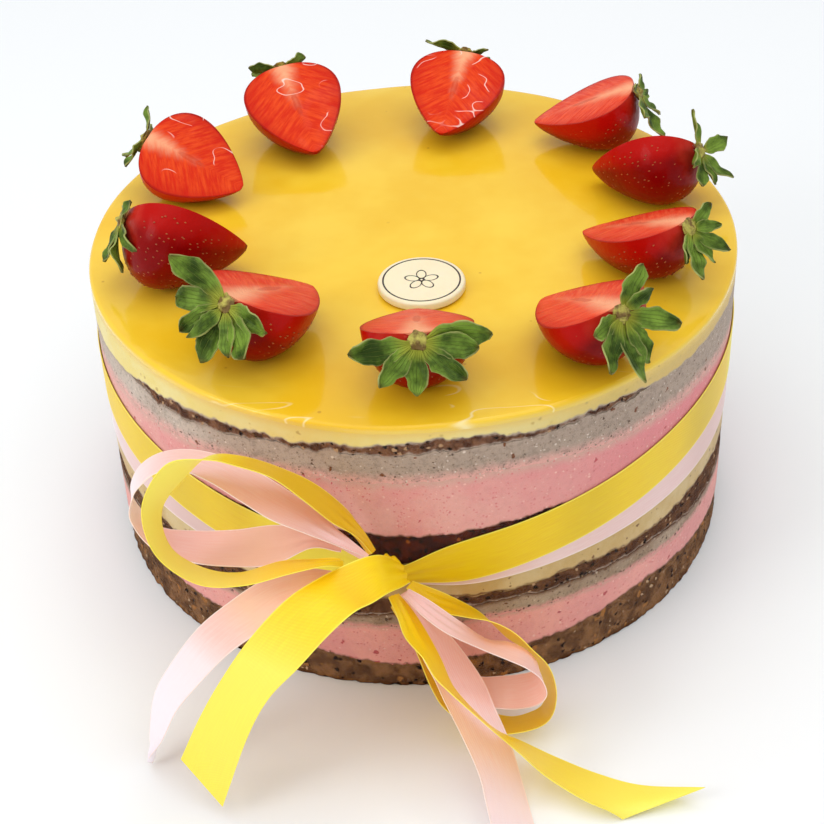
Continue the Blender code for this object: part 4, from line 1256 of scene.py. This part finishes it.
@dataclass
class BerryPlan:
    """One berry half and its leaves.

    Attributes:
        tip: Where its tip lies, in mm.
        heading: Which way the tip points, in degrees.
        length: Its length in mm.
        width: Its width in mm.
        roll: How far it has rolled over, in degrees.
        leaves: A direction in degrees and a length in mm for each leaf.
        curls: The range of how far leaves bend back, as shares of their lengths.
    """

    tip: tuple[float, float]
    heading: float
    length: float
    width: float
    roll: float
    leaves: tuple[tuple[float, float], ...]
    curls: tuple[float, float] = (0.0, 0.5)


COMMON_LEAVES = ((-150, 11), (-115, 12), (-78, 12), (-40, 11), (-5, 10), (170, 10))
BERRIES = (
    BerryPlan((0.4, -53.9), 90, 38, 31, -1,
              ((-172, 16), (-132, 15.5), (-84, 14.5), (-43, 15), (-14, 18), (170, 19.5))),
    BerryPlan((-29.6, -41.7), 54, 38, 34, 5,
              ((-150, 17), (-118, 14), (-92, 17), (-66, 12), (-38, 15), (-10, 17), (40, 18), (180, 16))),
    BerryPlan((-49.3, -19.0), 5, 37.5, 35, -49,
              ((-120, 13), (-80, 15), (-40, 16), (-5, 14), (35, 12), (170, 9)), (-0.4, 0.1)),
    BerryPlan((-53.0, 18.5), -20, 34.5, 30, 28, COMMON_LEAVES),
    BerryPlan((-30.0, 38.7), -70, 38, 32.5, 7, COMMON_LEAVES),
    BerryPlan((10.6, 47.4), -108, 35.5, 32, -4, ((-140, 9), (-90, 9), (-40, 9), (5, 7), (175, 15))),
    BerryPlan((42.0, 54.5), 168, 35.5, 31, 2,
              ((-140, 10), (-100, 12), (-60, 16), (-28, 13), (30, 8), (170, 9))),
    BerryPlan((58.6, 24.5), 154, 37, 29, 46,
              ((-150, 12), (-115, 11), (-75, 12), (-35, 12), (60, 13), (150, 12))),
    BerryPlan((51.9, -13.5), 139, 38.5, 29, 4,
              ((-165, 9), (-130, 13), (-98, 12), (-68, 15), (-38, 11), (165, 10))),
    BerryPlan((36.5, -51.8), 123, 35.5, 31, -6,
              ((-147, 16), (-106, 15), (-80, 17.5), (-34, 17), (-4, 13), (127, 14), (160, 11))),
)


@dataclass
class Berry:
    """Builds one berry half with its seeds, and its star of leaves."""

    number: int
    plan: BerryPlan
    top: float = 98 * MM
    tilt: float = math.radians(24)
    depth: float = 0.56
    bluntness: float = 0.62
    fullness: float = 0.72
    bulge: float = 0.05
    seed_gap: float = 2.9 * MM
    wet: tuple[int, ...] = (4, 5, 6)
    hub: float = 3.6 * MM
    stalk: float = 1.8 * MM
    spread: float = math.radians(24)
    room: float = 0.46
    leaf_thickness: float = 0.4 * MM
    backset: float = 0.9 * MM
    drop: float = 0.07

    def __post_init__(self) -> None:
        """Work out the berry's size and its place on the glaze."""
        self.length = self.plan.length * MM
        self.width = self.plan.width * MM
        turn = (Matrix.Rotation(math.radians(self.plan.heading), 4, "Z")
                @ Matrix.Rotation(self.tilt, 4, "Y")
                @ Matrix.Rotation(math.radians(self.plan.roll), 4, "X"))
        end = turn @ Vector((self.length, 0, 0))
        self.pose = Matrix.Translation(
            (self.plan.tip[0] * MM - end.x, self.plan.tip[1] * MM - end.y, self.top)) @ turn
        lowest = min((self.pose @ self.skin_point(share / 60, math.pi * turn / 24)).z
                     for share in range(1, 60) for turn in range(25))
        self.pose = Matrix.Translation((0, 0, self.top + 0.1 * MM - lowest)) @ self.pose

    def profile(self, share: float) -> float:
        """Return the half width at a share of the length, in metres."""
        inside = min(0.9999, max(0.0001, share))
        return self.width / 2 * math.sin(math.pi * inside ** self.bluntness) ** self.fullness

    def skin_point(self, share: float, turn: float) -> Vector:
        """Return a point of the skin, with turn 0 and pi at the cut's edges."""
        half = self.profile(share)
        return Vector((share * self.length, half * math.cos(turn), -half * 2 * self.depth * math.sin(turn)))

    def seed_places(self) -> list[tuple[float, float]]:
        """Return where the seeds lie, as shares of the length and turns round the skin."""
        draw = random.Random(100 + self.number)
        places = []
        rows = int(self.length / (self.seed_gap * 0.86))
        for row in range(1, rows):
            share = 0.05 + 0.9 * row / rows
            arc = math.pi * self.profile(share) * (0.5 + self.depth)
            count = max(1, round(arc / self.seed_gap))
            for place in range(count):
                turn = math.pi * (place + (0.25 if row % 2 else 0.75)) / count
                places.append((share + draw.uniform(-0.018, 0.018), turn + draw.uniform(-0.1, 0.1)))
        return places

    def body(self, seeds: Sequence[tuple[float, float]]) -> bpy.types.Object:
        """Make the berry half: a ball whose lower half is the skin and upper half the cut."""
        bpy.ops.mesh.primitive_uv_sphere_add(segments=96, ring_count=64, radius=1,
                                             rotation=(0, math.radians(-90), 0))
        piece = bpy.context.object
        bpy.ops.object.transform_apply(location=False, rotation=True, scale=False)
        ball = points_of(piece)
        points, local = np.zeros_like(ball), np.zeros_like(ball)
        pits = np.array([self.skin_point(share, turn) for share, turn in seeds])
        for at, (x, y, z) in enumerate(ball):
            share = min(0.988, max(0.006, (1 + x) / 2))
            turn = math.atan2(z, y)
            half = self.profile(share)
            if abs(x) > 0.99999:
                points[at] = (share * self.length, 0, -0.4 * half)
            elif z > 1e-6:
                wobble = noise.noise(Vector((share * 7, y * 3, self.number * 2.0))) * 0.25 * MM
                dome = self.bulge * half * (1 - math.cos(turn) ** 2)
                dome += wobble * max(0.0, math.sin(turn)) ** 0.5
                points[at] = (share * self.length, half * math.cos(turn), dome)
            else:
                point = self.skin_point(share, -turn)
                rise = max(0.0, math.sin(-turn))
                lump = noise.noise(point * 90 + Vector((0, 0, self.number * 3.1))) * 0.5 * MM
                near = np.sqrt(((pits - np.array(point)) ** 2).sum(1)).min()
                dent = 0.2 * MM * math.exp(-(near / (0.8 * MM)) ** 2)
                inward = Vector((0, point.y, point.z)).normalized() if half > 0.5 * MM else Vector()
                points[at] = point + inward * (lump * rise ** 0.5 - dent * rise ** 0.3)
            local[at] = (share, half * math.cos(turn) / self.length, abs(math.cos(turn)))
        local[:, 2] = np.maximum(local[:, 2] * (local[:, 0] < 0.97), (np.abs(local[:, 0] - 0.47) / 0.53) ** 6)
        move_points(piece, points)
        store(piece, "berry", local)
        piece.data.materials.append(bpy.data.materials.get("berry skin") or skin_material())
        wet = self.number in self.wet
        piece.data.materials.append(
            bpy.data.materials.get("wet flesh" if wet else "cut flesh") or flesh_material(wet))
        cut = np.array([all(ball[vert][2] > -1e-6 for vert in face.vertices) for face in piece.data.polygons])
        piece.data.polygons.foreach_set("material_index", cut.astype(int))
        smooth(piece, 50)
        return piece

    def seeds(self, places: Sequence[tuple[float, float]]) -> bpy.types.Object:
        """Make the small seeds that sit in the skin's pits."""
        bpy.ops.mesh.primitive_ico_sphere_add(subdivisions=1, radius=1)
        model = bpy.context.object
        shape = points_of(model) * np.array((0.42, 0.24, 0.2)) * MM
        faces = [tuple(face.vertices) for face in model.data.polygons]
        bpy.data.objects.remove(model)
        points, all_faces = [], []
        for share, turn in places:
            if not 0.06 * math.pi < turn < 0.94 * math.pi:
                continue
            here = self.skin_point(share, turn)
            ahead = (self.skin_point(share + 0.02, turn) - here).normalized()
            out = Vector((0, here.y, here.z)).normalized()
            side = out.cross(ahead).normalized()
            out = ahead.cross(side)
            start = len(points)
            for a, b, c in shape:
                points.append(here - out * 0.14 * MM + ahead * a + side * b + out * c)
            all_faces += [tuple(corner + start for corner in face) for face in faces]
        piece = mesh_object("seeds", points, all_faces)
        piece.data.materials.append(bpy.data.materials.get("berry seed") or seed_material())
        tidy_faces(piece, 1e-7)
        make_active(piece)
        bpy.ops.object.shade_smooth()
        return piece

    def leaf(self, turn: float, length: float, curl: float, sides: tuple[float, float], twist: float,
             bend: float, layer: int) -> bpy.types.Object:
        """Make one leaf from the hub out, with a folded rib and waving edges.

        Args:
            turn: Its direction in the star's plane.
            length: From the middle of the star to its tip.
            curl: How far it bends back, as a share of its length.
            sides: The turns that it may spread to at the hub, on each side.
            twist: How far it turns about its own rib by its tip.
            bend: How far its tip swings aside, as a share of its length.
            layer: 1 where it lies over its neighbours, otherwise 0.

        Returns:
            The leaf as an open sheet.
        """
        rows, columns = 16, 8
        bpy.ops.mesh.primitive_grid_add(x_subdivisions=columns, y_subdivisions=rows, size=2)
        piece = bpy.context.object
        grid = points_of(piece)
        out = Vector((0, math.cos(turn), math.sin(turn)))
        side = Vector((0, -math.sin(turn), math.cos(turn)))
        start = self.hub * 0.6 / length
        hub_half = self.hub * math.sin(sum(sides) / 2) / length * 0.8
        points = np.zeros_like(grid)
        shares = []
        for at, (across, y, _) in enumerate(grid):
            share = start + (1 - start) * (y + 1) / 2
            half = float(np.interp(share, (start, 0.32, 0.5, 0.66, 0.8, 0.9, 0.96, 1.0),
                                   (hub_half, 0.165, 0.205, 0.212, 0.185, 0.13, 0.075, 0.012)))
            half *= 1 + 0.3 * noise.noise(Vector((share * 7, turn * 5, across * 0.8 + self.number)))
            rise = float(np.interp(share, (start, 0.45, 0.76, 1.0), (0.1, 0.25, 0.35, 0.3)))
            spine = (out * share + side * bend * share ** 2) * length
            spine -= Vector((curl * length * share ** 2.2 + layer * 0.45 * MM, 0, 0))
            ruffle = math.sin(share * 12 + turn * 3 + across * 2) * 0.05 * across * length
            ruffle *= ease(0.3, 0.7, share)
            lean = twist * ease(0.3, 1.0, share)
            trough = 0.035 * length * math.cos(across * math.pi * 1.5) * half * 2
            depth = -rise * half * length * abs(across) ** 1.5 + ruffle + trough
            sideways = side * math.cos(lean) + Vector((math.sin(lean), 0, 0))
            points[at] = spine + sideways * half * length * across + Vector((depth, 0, 0))
            shares.append((across, share))
        move_points(piece, points)
        uv = piece.data.uv_layers[0]
        uv.name = "leaf"
        for loop in piece.data.loops:
            uv.data[loop.index].uv = shares[loop.vertex_index]
        return piece

    def star(self) -> bpy.types.Object:
        """Make the star of leaves, with its hub and stalk."""
        draw = random.Random(self.number)
        turns = sorted(math.radians(direction % 360) for direction, _ in self.plan.leaves)
        lengths = {math.radians(direction % 360): length * MM for direction, length in self.plan.leaves}
        leaves = []
        for place, turn in enumerate(turns):
            following = turns[(place + 1) % len(turns)]
            gaps = [(turn - turns[place - 1]) % TURN, (following - turn) % TURN]
            sides = (min(self.spread, self.room * gaps[0]), min(self.spread, self.room * gaps[1]))
            leaves.append(self.leaf(turn, lengths[turn], draw.uniform(*self.plan.curls), sides,
                                    draw.uniform(-0.7, 0.7), draw.uniform(-0.2, 0.2), place % 2))
        star = join(leaves, f"leaves_{self.number:02d}_look")
        thicken = star.modifiers.new("thickness", "SOLIDIFY")
        thicken.thickness = self.leaf_thickness
        thicken.offset = 0
        apply(star)
        star.data.materials.append(bpy.data.materials.get("berry leaf") or leaf_material())
        smooth(star, 50)
        return join([star, self.hub_piece()], star.name)

    def hub_piece(self) -> bpy.types.Object:
        """Make the domed middle of the star and its short stalk."""
        bpy.ops.mesh.primitive_uv_sphere_add(segments=32, ring_count=20, radius=1)
        hub = bpy.context.object
        points = points_of(hub)
        for at, (x, y, z) in enumerate(points):
            bump = 1 + 0.3 * noise.noise(Vector((x, y, z)) * 2.6 + Vector((self.number, 0, 0)))
            stalk = max(0.0, 1 - (math.hypot(y, z) / 0.36) ** 2) if x < 0 else 0.0
            points[at] = (x * 0.9 * MM * bump - stalk * 1.0 * MM, y * self.hub * 0.78 * bump,
                          z * self.hub * 0.78 * bump)
        move_points(hub, points)
        hub.data.materials.append(bpy.data.materials.get("berry stalk") or hub_material())
        hub.data.uv_layers[0].name = "leaf"
        smooth(hub, 60)
        return hub

    def into_place(self, piece: bpy.types.Object, extra: Optional[Matrix] = None) -> None:
        """Move a mesh from the berry's own frame to its place on the cake."""
        piece.data.transform(self.pose @ extra if extra else self.pose)
        piece.data.update()

    def build(self) -> None:
        """Make the berry half and its leaves."""
        places = self.seed_places()
        berry = join([self.body(places), self.seeds(places)], f"berry_{self.number:02d}_look")
        self.into_place(berry)
        settle(berry, "berry", f"berry_{self.number:02d}")
        star = self.star()
        self.into_place(star, Matrix.Translation((-self.backset, 0, -self.drop * self.width)))
        points = points_of(star)
        points[:, 2] = np.maximum(points[:, 2], self.top + 0.15 * MM)
        move_points(star, points)
        settle(star, "leaf", f"leaves_{self.number:02d}")



@dataclass
class Studio:
    """The pale floor, the soft lights and the camera."""

    camera_place: Vector = field(default_factory=lambda: Vector((0.0, -0.46586, 0.38063)))
    pitch: float = 0.6490
    yaw: float = -0.0050
    roll: float = -0.0422
    lens: float = 76.10

    def camera(self) -> bpy.types.Object:
        """Set the camera at the photograph's angle."""
        ahead = Vector((math.sin(self.yaw) * math.cos(self.pitch), math.cos(self.yaw) * math.cos(self.pitch),
                        -math.sin(self.pitch)))
        level = ahead.cross(Vector((0, 0, 1))).normalized()
        up = level.cross(ahead)
        right = level * math.cos(self.roll) + up * math.sin(self.roll)
        top = up * math.cos(self.roll) - level * math.sin(self.roll)
        data = bpy.data.cameras.new("camera")
        data.lens = self.lens
        camera = bpy.data.objects.new("camera", data)
        camera.matrix_world = Matrix.Translation(self.camera_place) @ Matrix(
            (right, top, -ahead)).transposed().to_4x4()
        bpy.context.scene.collection.objects.link(camera)
        bpy.context.scene.camera = camera
        return camera

    def floor(self) -> bpy.types.Object:
        """Lay the pale floor."""
        bpy.ops.mesh.primitive_plane_add(size=6, location=(0, 0, 0))
        floor = bpy.context.object
        floor.name = "floor"
        recipe = Recipe("pale floor", Base_Color=(0.93, 0.95, 0.965), Roughness=0.8)
        floor.data.materials.append(recipe.material)
        return floor

    def light(self, name: str, place: Sequence[float], size: float, power: float) -> bpy.types.Object:
        """Hang a square soft light that faces the cake."""
        data = bpy.data.lights.new(name, "AREA")
        data.shape = "SQUARE"
        data.size = size
        data.energy = power
        lamp = bpy.data.objects.new(name, data)
        lamp.location = place
        lamp.rotation_euler = (Vector((0, 0, 0.06)) - Vector(place)).to_track_quat("-Z", "Y").to_euler()
        bpy.context.scene.collection.objects.link(lamp)
        return lamp

    def build(self) -> None:
        """Make the studio."""
        self.camera()
        self.floor()
        self.light("overhead softbox", (0.0, -0.2, 1.25), 1.6, 7.5)
        self.light("small light", (0.1, 0.2, 1.1), 0.2, 0.5)
        self.light("left light", (-1.0, -0.6, 0.7), 0.5, 3.6)
        world = bpy.data.worlds.new("studio")
        world.use_nodes = True
        world.node_tree.nodes["Background"].inputs[0].default_value = (0.98, 0.99, 1.0, 1.0)
        world.node_tree.nodes["Background"].inputs[1].default_value = 0.68
        bpy.context.scene.world = world
        bpy.context.scene.view_settings.view_transform = "Standard"


def main() -> None:
    """Build every sub-assembly in order and report each one."""
    logging.basicConfig(level=logging.INFO, format="%(name)s: %(message)s")
    deselect()
    Studio().build()
    CakeBody().build()
    Ribbons().build()
    Plaque().build()
    for number, plan in enumerate(BERRIES, start=1):
        Berry(number, plan).build()


if __name__ == "__main__":
    main()
